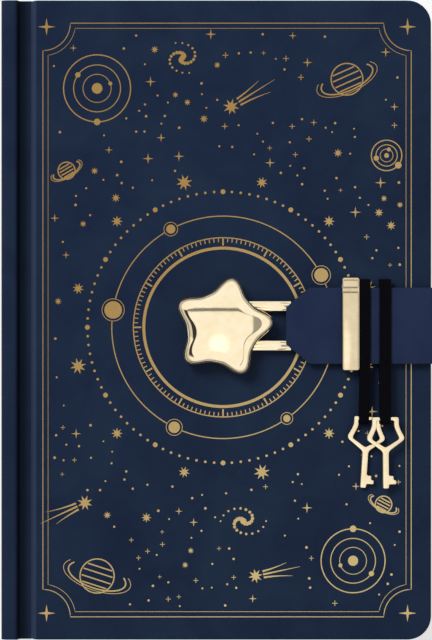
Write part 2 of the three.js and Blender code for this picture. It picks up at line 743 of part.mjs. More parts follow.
// Distance from the lock's middle to the star's side, in a direction
function starRadius(angle) {
  const mean = (starTipRadius + starNotchRadius) / 4 + starFlankRadius / 2;
  const swing = (starTipRadius - starNotchRadius) / 2;
  const sharpness = (starTipRadius + starNotchRadius) / 4 - starFlankRadius / 2;
  const fromTip = angle - THREE.MathUtils.degToRad(starTurn);
  return mean + swing * Math.cos(starArms * fromTip) + sharpness * Math.cos(2 * starArms * fromTip);
}

// A puffed star: upright wall, then a dome. The inset draws its side in.
function starSolid(inset, bottom, wallTop, domeTop) {
  const domeSteps = 6;
  const profile = [
    new THREE.Vector2(0, bottom),
    new THREE.Vector2(1, bottom),
    new THREE.Vector2(1, wallTop),
  ];
  for (let i = 1; i <= domeSteps; i += 1) {
    const share = 1 - i / domeSteps;
    profile.push(new THREE.Vector2(share, wallTop + (domeTop - wallTop) * (1 - share * share)));
  }
  const geometry = new THREE.LatheGeometry(profile, starSegments);
  geometry.rotateX(Math.PI / 2);
  const place = geometry.attributes.position;
  for (let i = 0; i < place.count; i += 1) {
    const share = Math.hypot(place.getX(i), place.getY(i));
    const angle = Math.atan2(place.getY(i), place.getX(i));
    const radius = share * (starRadius(angle) - inset);
    place.setX(i, starCentreX + radius * Math.cos(angle));
    place.setY(i, starCentreY + radius * Math.sin(angle));
  }
  return solidOf(geometry);
}

// A flat star plate
function starPlate(inset, bottom, thickness) {
  const points = [];
  for (let i = 0; i < starSegments; i += 1) {
    const angle = (i / starSegments) * 2 * Math.PI;
    const radius = starRadius(angle) - inset;
    const x = starCentreX + radius * Math.cos(angle);
    const y = starCentreY + radius * Math.sin(angle);
    points.push(new THREE.Vector2(x, y));
  }
  return slab(new THREE.Shape(points), bottom, thickness);
}

// The lock's hollow shell, with a mouth for the loop and a keyhole in its spine side
function lockShell() {
  const bottom = coverTop + starSeat;
  const wallTop = coverTop + starWallHeight;
  const domeTop = wallTop + starDomeHeight;
  const outer = starSolid(0, bottom, wallTop, domeTop);
  const hollow = starSolid(starWall, bottom - cutOverrun, wallTop - starWall / 2, domeTop - starWall);
  const mouthHalfWidth = loopHalfWidth + mouthClearance;
  const mouthHalfHeight = loopThickness / 2 + mouthClearance;
  const reach = starTipRadius + cutOverrun;
  const mouth = boxBetween(
    [crossbarRight, strapCentreY - mouthHalfWidth, strapMiddle - mouthHalfHeight],
    [starCentreX + reach, strapCentreY + mouthHalfWidth, strapMiddle + mouthHalfHeight],
  );
  const outside = starCentreX - reach;
  const inside = starCentreX - plugFrontInset + cutOverrun;
  const keyBore = barAlongX(plugY, plugZ, outside, inside, shankBore + plugClearance, 16);
  const keySlot = boxBetween(
    [outside, plugY - keywayWidth / 2 - plugClearance, plugZ],
    [inside, plugY + keywayWidth / 2 + plugClearance, plugZ + keywayHeight + plugClearance],
  );
  return outer.subtract(hollow).subtract(mouth).subtract(keyBore).subtract(keySlot);
}

// The plug that the key turns, with its cam pin
function lockPlug() {
  const front = starCentreX - plugFrontInset;
  const back = starCentreX + plugBackInset;
  const body = barAlongX(plugY, plugZ, front, back, plugRadius);
  const bore = barAlongX(plugY, plugZ, front - cutOverrun, front + keywayDepth, shankBore, 16);
  const keyway = boxBetween(
    [front - cutOverrun, plugY - keywayWidth / 2, plugZ],
    [front + keywayDepth, plugY + keywayWidth / 2, plugZ + keywayHeight],
  );
  const pin = barAlongX(pinY, pinZ, back - cutOverrun, boltLeft + forkWidth, pinRadius, 12);
  return body.subtract(bore).subtract(keyway).add(pin);
}

// The cradle that carries the plug, open at the top
function plugCradle() {
  const block = boxBetween(
    [starCentreX - cradleFrontInset, plugY - cradleHalfWidth, plateTop + glueLine],
    [starCentreX + cradleBackInset, plugY + cradleHalfWidth, plugZ + cradleGrip],
  );
  const bore = barAlongX(plugY, plugZ, starCentreX - starTipRadius, starCentreX + starTipRadius,
    plugRadius + plugClearance);
  return block.subtract(bore);
}

// The bolt that reaches into the loop's upper leg, with the fork that the cam pin moves
function lockBolt() {
  const half = boltThickness / 2;
  const bar = boxBetween(
    [boltLeft, boltUpperEnd - boltLength, strapMiddle - half],
    [boltRight, boltUpperEnd, strapMiddle + half],
  );
  const forkTop = plugZ + pinCircle + pinRadius;
  const fork = boxBetween(
    [boltLeft, pinY - forkHalfLength, strapMiddle],
    [boltLeft + forkWidth, pinY + forkHalfLength, forkTop],
  );
  const slot = boxBetween(
    [boltLeft - cutOverrun, pinY - forkSlot / 2, pinZ - pinRadius - boltClearance],
    [boltLeft + forkWidth + cutOverrun, pinY + forkSlot / 2, forkTop + cutOverrun],
  );
  return bar.add(fork.subtract(slot));
}

// A rivet from the base plate down to the clinch plate
function lockRivet([x, y]) {
  const shaftBottom = layerBottom(true, turnInDepth, clinchPlateThickness);
  const shaft = barAlongZ(x, y, shaftBottom, plateTop + 2 * glueLine, rivetRadius, 16);
  const headBottom = plateTop + glueLine;
  return shaft.add(barAlongZ(x, y, headBottom, headBottom + rivetHeadThickness, rivetHeadRadius, 16));
}

const lockGroup = new THREE.Group();
const basePlate = withRivetHoles(
  starPlate(starWall + basePlateClearance, coverTop + starSeat, basePlateThickness),
  coverTop - cutOverrun,
  plateTop + cutOverrun,
);
const clinchBottom = layerBottom(true, turnInDepth, clinchPlateThickness);
const clinchTop = clinchBottom + clinchPlateThickness;
const clinchPlate = withRivetHoles(
  barAlongZ(starCentreX, starCentreY, clinchBottom, clinchTop, clinchPlateRadius, 48),
  clinchBottom - cutOverrun,
  coverTop,
);
lockGroup.add(
  piece("lock_star_shell", lockShell(), goldMaterial),
  piece("lock_base_plate", basePlate, steelMaterial),
  piece("plug_cradle", plugCradle(), steelMaterial),
  piece("lock_plug", lockPlug(), brassMaterial),
  piece("lock_bolt", lockBolt(), steelMaterial),
  piece("lock_clinch_plate", clinchPlate, steelMaterial),
);
rivetPlaces.forEach((place, i) => {
  lockGroup.add(piece(`lock_rivet_${i + 1}`, lockRivet(place), brassMaterial));
});

// The whole diary, centred on its own middle
const diary = new THREE.Group();
const outermost = foldX + strapThickness / 2;
diary.position.x = -(spineFace + outermost) / 2;
diary.add(caseGroup, blockGroup, strapGroup, keyGroup, lockGroup);
const model = new THREE.Group();
model.add(diary);

export default model;
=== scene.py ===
"""Lock diary: a hardcover book with a strap, a star-shaped lock, a keeper ring and two keys.

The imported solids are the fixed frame. This script dresses them: it models the leather, the foil,
the strap, the metal and the paper around them, and lights them for a view from straight above.
Lengths are metres. MM turns millimetres into them. X runs from the spine to the fore edge,
Y from the tail to the head, and Z up out of the front cover.
"""

import enum
import logging
import math
import random
from abc import ABC, abstractmethod
from contextlib import contextmanager
from dataclasses import dataclass
from typing import Callable, ClassVar, Iterator, Sequence

import bmesh
import bpy
from bpy.types import ID, Material, NodeSocket, Object, ShaderNode, World
from mathutils import Matrix, Vector


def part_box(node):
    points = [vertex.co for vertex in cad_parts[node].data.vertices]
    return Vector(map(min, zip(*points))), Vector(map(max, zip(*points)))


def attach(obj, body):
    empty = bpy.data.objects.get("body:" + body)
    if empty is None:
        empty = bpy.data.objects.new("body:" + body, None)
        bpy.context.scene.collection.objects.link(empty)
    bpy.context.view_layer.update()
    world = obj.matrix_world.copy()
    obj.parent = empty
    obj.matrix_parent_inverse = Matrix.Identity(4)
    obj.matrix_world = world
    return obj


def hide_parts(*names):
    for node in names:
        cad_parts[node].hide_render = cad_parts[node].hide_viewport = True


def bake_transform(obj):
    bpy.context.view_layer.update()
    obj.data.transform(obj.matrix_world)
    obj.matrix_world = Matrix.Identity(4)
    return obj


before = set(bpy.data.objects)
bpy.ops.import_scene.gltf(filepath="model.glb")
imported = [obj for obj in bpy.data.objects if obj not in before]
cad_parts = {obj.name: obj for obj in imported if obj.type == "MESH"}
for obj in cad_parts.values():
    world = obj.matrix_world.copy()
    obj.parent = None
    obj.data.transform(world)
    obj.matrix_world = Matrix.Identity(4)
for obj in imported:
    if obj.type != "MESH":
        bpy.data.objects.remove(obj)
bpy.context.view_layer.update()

log = logging.getLogger("diary")

MM = 0.001
NEAR = 0.01 * MM
Point = tuple[float, float]
Place = tuple[float, float, float]
Corner = tuple[Point, float]
Inputs = dict[str | int, object]


class Body(enum.Enum):
    """The moving bodies of the frame."""

    BOOK = "book"
    FRONT_COVER = "front_cover"
    STRAP_SIDE = "strap_side"
    STRAP_FRONT = "strap_front"
    KEEPER = "keeper"
    HANGING_KEY_1 = "hanging_key_1"
    HANGING_KEY_2 = "hanging_key_2"


class Side(enum.Enum):
    """The two covers, which are each other's mirror image about the text block."""

    FRONT = "front"
    BACK = "back"


@dataclass(frozen=True)
class Span:
    """The box that one or more nodes fill at rest.

    Args:
        low: Lowest corner.
        high: Highest corner.
    """

    low: Vector
    high: Vector

    @classmethod
    def of(cls, *nodes: str) -> "Span":
        """The box round the named nodes.

        Args:
            nodes: Names of nodes in the frame.

        Returns:
            The span that holds them all.
        """
        boxes = [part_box(node) for node in nodes]
        low = Vector([min(box[0][axis] for box in boxes) for axis in range(3)])
        high = Vector([max(box[1][axis] for box in boxes) for axis in range(3)])
        return cls(low, high)

    @property
    def centre(self) -> Vector:
        """Middle of the box."""
        return (self.low + self.high) / 2

    @property
    def size(self) -> Vector:
        """Edge lengths of the box."""
        return self.high - self.low


COVER = Span.of("front_cover_wrap", "spine_wrap")
FACE_HEIGHT = Span.of("front_cover_wrap").high.z


def focus(piece: Object | None = None) -> None:
    """Selects one piece alone, or nothing, so that an operator acts on nothing by accident.

    Args:
        piece: The piece, if any, that the next operator acts on.
    """
    for item in bpy.context.selected_objects:
        item.select_set(False)
    if piece is not None:
        piece.select_set(True)
        bpy.context.view_layer.objects.active = piece


def take_new(name: str) -> Object:
    """Names the primitive that was just added, and puts its place in its mesh.

    Args:
        name: The piece's name.

    Returns:
        The new object.
    """
    piece = bpy.context.object
    piece.name = piece.data.name = name
    bpy.ops.object.transform_apply(location=True, rotation=True, scale=True)
    return piece


@contextmanager
def editing(piece: Object, mode: str = "VERT", all_parts: bool = False) -> Iterator[bmesh.types.BMesh]:
    """Edit mode on one piece.

    Args:
        piece: The mesh to edit.
        mode: VERT, EDGE or FACE.
        all_parts: Whether everything is selected at first, and not nothing.

    Yields:
        The mesh under edit.
    """
    focus(piece)
    bpy.ops.object.mode_set(mode="EDIT")
    bpy.ops.mesh.select_mode(type=mode)
    bpy.ops.mesh.select_all(action="SELECT" if all_parts else "DESELECT")
    try:
        yield bmesh.from_edit_mesh(piece.data)
    finally:
        bpy.ops.object.mode_set(mode="OBJECT")


def close_up(piece: Object) -> None:
    """Merges doubled points and turns all faces outwards.

    Args:
        piece: The mesh to clean.
    """
    with editing(piece, all_parts=True):
        bpy.ops.mesh.remove_doubles(threshold=0.001 * MM)
        bpy.ops.mesh.normals_make_consistent(inside=False)


def figure(name: str, outline: Sequence[Point], height: float = 0) -> Object:
    """A flat filled outline.

    Args:
        name: The piece's name.
        outline: Corner points in X and Y, counterclockwise.
        height: Its Z.

    Returns:
        The figure of one face.
    """
    focus()
    bpy.ops.mesh.primitive_circle_add(vertices=len(outline), fill_type="NGON")
    piece = take_new(name)
    for vertex, (x, y) in zip(piece.data.vertices, outline):
        vertex.co = (x, y, height)
    return piece


def plate(name: str, outline: Sequence[Point], bottom: float, height: float) -> Object:
    """A flat outline raised along Z.

    Args:
        name: The piece's name.
        outline: Corner points in X and Y, counterclockwise.
        bottom: Height of the lower face.
        height: Thickness.

    Returns:
        The closed plate.
    """
    piece = figure(name, outline, bottom)
    with editing(piece, all_parts=True):
        bpy.ops.mesh.extrude_region_move(TRANSFORM_OT_translate={"value": (0, 0, height)})
        bpy.ops.mesh.select_all(action="SELECT")
        bpy.ops.mesh.normals_make_consistent(inside=False)
    return piece


def block(name: str, low: Place, high: Place) -> Object:
    """A box between two corners.

    Args:
        name: The piece's name.
        low: Lowest corner.
        high: Highest corner.

    Returns:
        The box.
    """
    focus()
    bpy.ops.mesh.primitive_cube_add(
        size=1, location=(Vector(low) + Vector(high)) / 2, scale=Vector(high) - Vector(low)
    )
    return take_new(name)


def finish_modifier(piece: Object, kind: str, **settings: object) -> None:
    """Adds a modifier and applies it.

    Args:
        piece: The piece to change.
        kind: The modifier's type, such as BEVEL.
        settings: The modifier's own settings.
    """
    focus(piece)
    modifier = piece.modifiers.new(kind.title(), kind)
    for key, value in settings.items():
        setattr(modifier, key, value)
    bpy.ops.object.modifier_apply(modifier=modifier.name)


def carve(piece: Object, cutter: Object, operation: str = "DIFFERENCE") -> None:
    """Cuts or joins one solid with another, which is used up.

    Args:
        piece: The solid that stays.
        cutter: The solid that is cut away or added.
        operation: DIFFERENCE or UNION.
    """
    finish_modifier(piece, "BOOLEAN", object=cutter, operation=operation, solver="EXACT")
    bpy.data.objects.remove(cutter)


def merge(pieces: Sequence[Object], name: str) -> Object:
    """Joins several meshes into one piece.

    Args:
        pieces: The meshes.
        name: Name of the joined piece.

    Returns:
        The joined piece.
    """
    focus(pieces[0])
    for piece in pieces:
        piece.select_set(True)
    if len(pieces) > 1:
        bpy.ops.object.join()
    return take_new(name)


def round_edges(piece: Object, width: float, segments: int = 3, angle: float = 35) -> None:
    """Rounds every edge that is sharper than an angle.

    Args:
        piece: The piece to soften.
        width: How far the rounding reaches from the edge.
        segments: Faces across the rounding.
        angle: Edges sharper than this, in degrees, are rounded.
    """
    limit = {"limit_method": "ANGLE", "angle_limit": math.radians(angle)}
    finish_modifier(piece, "BEVEL", width=width, segments=segments, use_clamp_overlap=False, **limit)


def round_chosen(
    piece: Object,
    width: float,
    segments: int,
    wanted: Callable[[bmesh.types.BMEdge], bool],
    profile: float = 0.5,
) -> None:
    """Rounds the edges that a test picks.

    Args:
        piece: The piece to soften.
        width: How far the rounding reaches from the edge.
        segments: Faces across the rounding.
        wanted: Says whether an edge is to be rounded.
        profile: 0.5 for a round section, 0.25 for a straight one.
    """
    with editing(piece, "EDGE") as mesh:
        for edge in [edge for edge in mesh.edges if wanted(edge)]:
            edge.select_set(True)
        shape = {"segments": segments, "profile": profile, "clamp_overlap": False}
        bpy.ops.mesh.bevel(offset=width, affect="EDGES", **shape)


def smooth(piece: Object, angle: float = 40) -> Object:
    """Shades a piece smooth, but for its sharp edges.

    Args:
        piece: The piece.
        angle: Edges sharper than this, in degrees, stay sharp.

    Returns:
        The same piece.
    """
    focus(piece)
    bpy.ops.object.shade_smooth_by_angle(angle=math.radians(angle))
    return piece


def polar(centre: Point, radius: float, angle: float) -> Point:
    """The place at a distance from a middle, in a direction given in degrees."""
    turn = math.radians(angle)
    return centre[0] + radius * math.cos(turn), centre[1] + radius * math.sin(turn)


def arc(centre: Point, radius: float, start: float, end: float, steps: int) -> list[Point]:
    """Points on a circle's arc.

    Args:
        centre: Middle of the circle.
        radius: Its radius.
        start: First angle in degrees.
        end: Last angle in degrees.
        steps: Stretches between the points.

    Returns:
        The points from the first angle to the last, both included.
    """
    return [polar(centre, radius, start + (end - start) * i / steps) for i in range(steps + 1)]


@dataclass(frozen=True)
class Route:
    """An open or closed line in a plane, which a band follows.

    Args:
        points: The line's points.
    """

    points: tuple[Point, ...]

    @property
    def lengths(self) -> list[float]:
        """Measures along the line.

        Returns:
            The distance from the start to each point.
        """
        found = [0.0]
        for before, after in zip(self.points, self.points[1:]):
            found.append(found[-1] + math.dist(before, after))
        return found

    def at(self, distance: float) -> tuple[Vector, Vector]:
        """Where the line is, some way along it.

        Args:
            distance: How far from the start.

        Returns:
            The point, and the direction square to the line on its left.
        """
        lengths = self.lengths
        distance = min(max(distance, 0.0), lengths[-1])
        index = next(i for i in range(1, len(lengths)) if distance <= lengths[i] + 1e-12)
        before, after = Vector(self.points[index - 1]), Vector(self.points[index])
        stretch = lengths[index] - lengths[index - 1]
        share = (distance - lengths[index - 1]) / stretch if stretch > 0 else 0.0
        along = (after - before).normalized()
        return before.lerp(after, share), Vector((-along.y, along.x))


def round_corner(before: Point, corner: Point, after: Point, radius: float, steps: int) -> list[Point]:
    """Rounds one corner of a line.

    Args:
        before: The point before the corner.
        corner: The corner.
        after: The point after it.
        radius: How far before the corner its rounding starts.
        steps: Stretches in the rounding.

    Returns:
        The points that take the corner's place.
    """
    here = Vector(corner)
    back, ahead = Vector(before) - here, Vector(after) - here
    reach = min(radius, back.length / 2, ahead.length / 2)
    first, last = here + back.normalized() * reach, here + ahead.normalized() * reach
    shares = [i / steps for i in range(steps + 1)]
    return [tuple(first.lerp(here, share).lerp(here.lerp(last, share), share)) for share in shares]


def smoothed(points: Sequence[Point], radius: float, steps: int) -> Route:
    """A line with its inner corners rounded.

    Args:
        points: The line's corners.
        radius: How far before a corner its rounding starts.
        steps: Stretches in each rounding.

    Returns:
        The rounded line.
    """
    made = [points[0]]
    for before, corner, after in zip(points, points[1:], points[2:]):
        made += round_corner(before, corner, after, radius, steps)
    return Route((*made, points[-1]))


def rounded_outline(corners: Sequence[Corner], steps: int = 4) -> list[Point]:
    """A closed outline with its corners rounded.

    Args:
        corners: The corners in order, each with its rounding in millimetres.
        steps: Stretches in each rounding.

    Returns:
        The outline's points.
    """
    made = []
    for i, (corner, radius) in enumerate(corners):
        after = corners[(i + 1) % len(corners)][0]
        made += round_corner(corners[i - 1][0], corner, after, radius * MM, steps)
    return made


def evenly(length: float, pitch: float, also: Sequence[float] = ()) -> list[float]:
    """Distances from 0 to a length, about a pitch apart.

    Args:
        length: The last distance.
        pitch: Wanted distance between them.
        also: Distances that must be among them.

    Returns:
        The distances, in order.
    """
    steps = math.ceil(length / pitch)
    kept = [length * i / steps for i in range(steps + 1)]
    inner = [d for d in kept[1:-1] if all(abs(d - extra) > pitch / 4 for extra in also)]
    return sorted([kept[0], *inner, *also, kept[-1]])


class Plane(enum.Enum):
    """The plane that a band's route is drawn in."""

    XZ = "xz"
    YZ = "yz"


@dataclass
class Band:
    """A flat band of its own thickness, bent along a route.

    Args:
        route: The middle line that the band follows.
        plane: The plane of the route.
        thickness: Its thickness, half on each side of the route.
        pitch: Distance between its rows of points.
        across: Faces across it.
        reach: Its half width about the plane Y = 0, where it has no sides of its own.
        also: Distances along the route at which it must have a row.
    """

    route: Route
    plane: Plane
    thickness: float
    pitch: float
    across: int
    reach: float = 0.0
    also: Sequence[float] = ()

    def sides(self, middle: Vector) -> Point:
        """The two side places where the route is at a point."""
        return -self.reach, self.reach

    def lift(self, distance: float, share: float) -> float:
        """Height above the route, for a distance along it and a share across."""
        return 0.0

    def build(self, name: str) -> Object:
        """Makes the band.

        Args:
            name: The piece's name.

        Returns:
            The closed band.
        """
        stops = evenly(self.route.lengths[-1], self.pitch, self.also)
        rows = len(stops) - 1
        focus()
        bpy.ops.mesh.primitive_grid_add(x_subdivisions=rows, y_subdivisions=self.across, size=2)
        piece = take_new(name)
        for vertex in piece.data.vertices:
            distance = stops[round((vertex.co.x + 1) / 2 * rows)]
            share = (vertex.co.y + 1) / 2
            middle, normal = self.route.at(distance)
            first, second = self.sides(middle)
            side = first + (second - first) * share
            middle = middle + normal * self.lift(distance, share)
            flat = (middle.x, side) if self.plane is Plane.XZ else (side, middle.x)
            vertex.co = (*flat, middle.y)
        finish_modifier(piece, "SOLIDIFY", thickness=self.thickness, offset=0, use_even_offset=True)
        close_up(piece)
        return piece


@dataclass(frozen=True)
class Bend:
    """The stretch over which a soft piece would stop following its own body and follow another; nothing here
    makes it do so.

    Args:
        onto: The other body; not used.
        start: Where it stops following its own body; not used.
        end: Where it fully follows the other one; not used.
    """

    onto: Body
    start: Place
    end: Place


def place_piece(
    piece: Object,
    body: Body,
    finish: Material,
    slot: str,
    nodes: Sequence[str] = (),
    bend: Bend | None = None,
) -> None:
    """Dresses a finished piece, and lets it ride on its body unless it has a bend.

    Args:
        piece: The finished piece.
        body: The body that it moves with.
        finish: Its material.
        slot: Name of a slot for its finish; not used.
        nodes: The frame's nodes that it stands for.
        bend: Where it would bend across a joint, if it does; a piece with one is not put on its body, and
            keeps its place baked into its mesh.
    """
    piece.data.materials.clear()
    piece.data.materials.append(finish)
    if bend is None:
        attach(piece, body.value)
    else:
        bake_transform(piece)
    if nodes:
        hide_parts(*nodes)
    log.info("%s: %d faces on %s", piece.name, len(piece.data.polygons), body.value)


def dress(finish: Material, *nodes: str) -> None:
    """Gives nodes of the frame their material, and leaves their meshes alone.

    Args:
        finish: The material.
        nodes: The nodes' names.
    """
    for node in nodes:
        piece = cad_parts[node]
        if piece.material_slots:
            for place in piece.material_slots:
                place.material = finish
        else:
            piece.data.materials.append(finish)


def linear(colour: str) -> tuple[float, float, float, float]:
    """An sRGB hex colour as linear values.

    Args:
        colour: Such as #1b2538.

    Returns:
        Red, green, blue and full opacity.
    """
    low_limit, low_slope, offset, power = 0.04045, 12.92, 0.055, 2.4
    values = [int(colour[i : i + 2], 16) / 255 for i in (1, 3, 5)]
    bent = [v / low_slope if v <= low_limit else ((v + offset) / (1 + offset)) ** power for v in values]
    return (*bent, 1.0)


class NodeWeb:
    """The nodes of a material or of the world, whose outputs are called by name."""

    def __init__(self, data: Material | World, known: dict[str, object]) -> None:
        """Starts the nodes.

        Args:
            data: What they belong to.
            known: Values that nodes may call by name too.
        """
        data.use_nodes = True
        self.tree = data.node_tree
        self.made = dict(known)

    def feed(self, node: ShaderNode, inputs: Inputs) -> None:
        """Sets or links a node's inputs.

        Args:
            node: The node.
            inputs: A value, or the name of an earlier output, for each input.
        """
        for key, value in inputs.items():
            source = self.made[value] if isinstance(value, str) else value
            if isinstance(source, NodeSocket):
                self.tree.links.new(source, node.inputs[key])
            else:
                node.inputs[key].default_value = source

    def add(
        self,
        name: str,
        kind: str,
        inputs: Inputs,
        output: str | int = 0,
        stops: Sequence[tuple[float, str]] = (),
        **settings: object,
    ) -> None:
        """Adds a node with its settings and links. A pattern follows the output named place, if not another.

        Args:
            name: What later nodes call its output.
            kind: The node's type.
            inputs: A value, or the name of an earlier output, for each input.
            output: Which of its outputs is wanted.
            stops: Places and hex colours, for a colour ramp.
            settings: The node's own properties.
        """
        node = self.tree.nodes.new(f"ShaderNode{kind}")
        for key, value in settings.items():
            setattr(node, key, value)
        follows = {"Vector": "place"} if node.inputs.find("Vector") == 0 else {}
        self.feed(node, {**follows, **inputs})
        for element, (place, colour) in zip(node.color_ramp.elements if stops else (), stops):
            element.position, element.color = place, linear(colour)
        self.made[name] = node.outputs[output]


@dataclass(frozen=True)
class Finish(ABC):
    """A surface finish, in which one pattern gives the tone, and it or another the relief.

    Args:
        name: The material's name.
        low: Colour at the tone pattern's low end.
        high: Colour at its high end.
    """

    name: str
    low: str
    high: str

    ends: ClassVar[Point]
    relief: ClassVar[Point]
    gloss: ClassVar[Inputs]

    @abstractmethod
    def draw(self, web: NodeWeb) -> None:
        """Draws the pattern of the tone, and that of the height if it is another.

        Args:
            web: The material's nodes.
        """

    def touch_up(self, web: NodeWeb) -> None:
        """Changes the dye, in a finish that does."""

    def make(self) -> Material:
        """Makes the material.

        Returns:
            The material.
        """
        material = bpy.data.materials.new(self.name)
        web = NodeWeb(material, vars(self))
        web.add("place", "TexCoord", {}, "Object")
        self.draw(web)
        web.add("dye", "ValToRGB", {"Fac": "tone"}, stops=list(zip(self.ends, (self.low, self.high))))
        height = "height" if "height" in web.made else "tone"
        depth, strength = self.relief
        web.add("raised", "Bump", {"Height": height, "Distance": depth, "Strength": strength})
        self.touch_up(web)
        web.feed(web.tree.nodes["Principled BSDF"], {"Base Color": "dye", "Normal": "raised", **self.gloss})
        return material


@dataclass(frozen=True)
class PaintedLightStripe:
    """An upright stripe of painted light in the leather's dye: a darker colour paints shade, a lighter one
    paints a highlight.

    Args:
        start: X at which it begins.
        full_from: X from which it is at its full strength.
        full_to: X up to which it is so.
        end: X at which it ends.
        dye: Its colour.
        share: Its full strength.
    """

    start: float
    full_from: float
    full_to: float
    end: float
    dye: str
    share: float


@dataclass(frozen=True)
class SoftTouchLeather(Finish):
    """Polyurethane faux leather with a soft matt coat, as wrapped round hardcovers.

    The coat scatters light, so the face looks almost flat, with faint clouds in its dye.

    Args:
        cloud: Size of the clouds.
        grain: Size of the pebbles of its grain.
        roughness: Spread of the gloss.
        painted_light_stripes: Upright bands of painted shade and painted highlight laid over the dye.
    """

    cloud: float = 24 * MM
    grain: float = 0.55 * MM
    roughness: float = 0.6
    painted_light_stripes: tuple[PaintedLightStripe, ...] = ()

    ends = (0.3, 0.7)
    relief = (0.05 * MM, 0.35)
    gloss = {"Specular IOR Level": 0.06, "Roughness": "spread"}

    def draw(self, web: NodeWeb) -> None:
        """Draws clouds for the tone and the gloss, and pebbles for the relief.

        Args:
            web: The material's nodes.
        """
        clouds = {"Scale": 1 / self.cloud, "Detail": 6, "Roughness": 0.62, "Distortion": 0.6}
        web.add("tone", "TexNoise", clouds)
        web.add("pebbles", "TexVoronoi", {"Scale": 1 / self.grain, "Smoothness": 0.6}, feature="SMOOTH_F1")
        web.add("fine", "TexNoise", {"Scale": 3 / self.grain, "Detail": 2})
        web.add("height", "Math", {0: "fine", 1: 0.35, 2: "pebbles"}, operation="MULTIPLY_ADD")
        gloss = {"To Min": self.roughness - 0.05, "To Max": self.roughness + 0.07}
        web.add("spread", "MapRange", {"Value": "tone", **gloss})

    def touch_up(self, web: NodeWeb) -> None:
        """Lays the bands of painted shade and painted highlight over the dye.

        Args:
            web: The material's nodes.
        """
        web.add("x", "SeparateXYZ", {}, "X")
        for stripe in self.painted_light_stripes:
            web.made["share"] = stripe.share
            for outer, inner in ((stripe.start, stripe.full_from), (stripe.end, stripe.full_to)):
                ramp = {"Value": "x", "From Min": outer, "From Max": inner}
                web.add("slope", "MapRange", ramp, interpolation_type="SMOOTHSTEP")
                web.add("share", "Math", {0: "slope", 1: "share"}, operation="MULTIPLY")
            web.add("dye", "Mix", {0: "share", 6: "dye", 7: linear(stripe.dye)}, 2, data_type="RGBA")


@dataclass(frozen=True)
class StampedFoil(Finish):
    """Hot-stamped gold foil: a metal film pressed into the leather, so it has the leather's fine grain.

    Its colour holds a painted reflection: a ramp across the cover makes it ochre at the head and spine, and
    paler towards the other corner.

    Args:
        worn: Colour of the rubbed specks.
    """

    worn: str = "#86703f"

    ends = (0.25, 0.95)
    relief = (0.01 * MM, 0.4)
    gloss = {"Metallic": 0.75, "Roughness": 0.42}

    def draw(self, web: NodeWeb) -> None:
        """Draws the painted reflection's change of tone across the cover, and the leather's grain.

        Args:
            web: The material's nodes.
        """
        for axis in "XY":
            web.add(axis, "SeparateXYZ", {}, axis)
        # Painted reflection: the foil is painted paler from the head and spine towards the fore edge's tail
        # corner.
        web.add("slope", "Math", {0: "X", 1: "Y"}, operation="SUBTRACT")
        reach = COVER.size.y / 2
        web.add("tone", "MapRange", {"Value": "slope", "From Min": -reach, "From Max": reach})
        web.add("height", "TexNoise", {"Scale": 1 / (0.3 * MM), "Detail": 3})

    def touch_up(self, web: NodeWeb) -> None:
        """Rubs specks out of the foil.

        Args:
            web: The material's nodes.
        """
        web.add("specks", "TexNoise", {"Scale": 1 / (0.9 * MM), "Detail": 4, "Roughness": 0.7})
        web.add("rubbed", "ValToRGB", {"Fac": "specks"}, stops=[(0.6, "#000000"), (0.78, "#ffffff")])
        web.add("dye", "Mix", {0: "rubbed", 6: "dye", 7: linear(self.worn)}, 2, data_type="RGBA")


@dataclass(frozen=True)
class PolishedPlate(Finish):
    """Die-cast zinc with polished pale gold plating: mirror-bright, with a faint orange-peel.

    Args:
        roughness: Spread of the reflection.
    """

    roughness: float = 0.045

    ends = (0.35, 0.8)
    relief = (0.01 * MM, 0.15)
    gloss = {"Metallic": 1.0, "Roughness": "spread"}

    def draw(self, web: NodeWeb) -> None:
        """Draws places where the plating is rubbed thin, the orange-peel, and an uneven gloss.

        Args:
            web: The material's nodes.
        """
        web.add("tone", "TexNoise", {"Scale": 1 / (4 * MM), "Detail": 5, "Roughness": 0.6})
        web.add("height", "TexNoise", {"Scale": 1 / (2.2 * MM), "Detail": 1})
        web.add("smear", "TexNoise", {"Scale": 1 / (1.5 * MM), "Detail": 4})
        gloss = {"To Min": self.roughness * 0.7, "To Max": self.roughness * 1.6}
        web.add("spread", "MapRange", {"Value": "smear", **gloss})


@dataclass(frozen=True)
class MachinedMetal(Finish):
    """Stamped steel or turned brass: fine parallel lines from the tool, and a duller gloss.

    Args:
        roughness: Spread of the reflection.
    """

    roughness: float = 0.34

    ends = (0.3, 0.65)
    relief = (0.01 * MM, 0.3)
    gloss = {"Metallic": 1.0, "Roughness": "roughness"}

    def draw(self, web: NodeWeb) -> None:
        """Draws the tool lines, 0.18 mm apart and twelve times as long as wide.

        Args:
            web: The material's nodes.
        """
        line, stretch = 0.18 * MM, 12
        web.add("drawn", "Mapping", {"Scale": (1, stretch, 1)})
        mark = {"Scale": 1 / (line * stretch), "Detail": 2, "Roughness": 0.7}
        web.add("tone", "TexNoise", {"Vector": "drawn", **mark})


@dataclass(frozen=True)
class Paper(Finish):
    """Uncoated book paper: a matt face with pale fibres."""

    ends = (0.08, 0.32)
    relief = (0.02 * MM, 0.3)
    gloss = {"Roughness": 0.9, "Specular IOR Level": 0.2}

    def draw(self, web: NodeWeb) -> None:
        """Draws clouds of pulp with fibres in them, and the fibres alone.

        Args:
            web: The material's nodes.
        """
        web.add("clouds", "TexNoise", {"Scale": 1 / (3 * MM), "Detail": 6, "Roughness": 0.75})
        web.add("drawn", "Mapping", {"Scale": (1, 5, 1)})
        fibre = {"Scale": 1 / (0.9 * MM), "Detail": 4, "Roughness": 0.8, "Distortion": 1.5}
        web.add("height", "TexNoise", {"Vector": "drawn", **fibre})
        web.add("tone", "Math", {0: "clouds", 1: "height"}, operation="MULTIPLY")


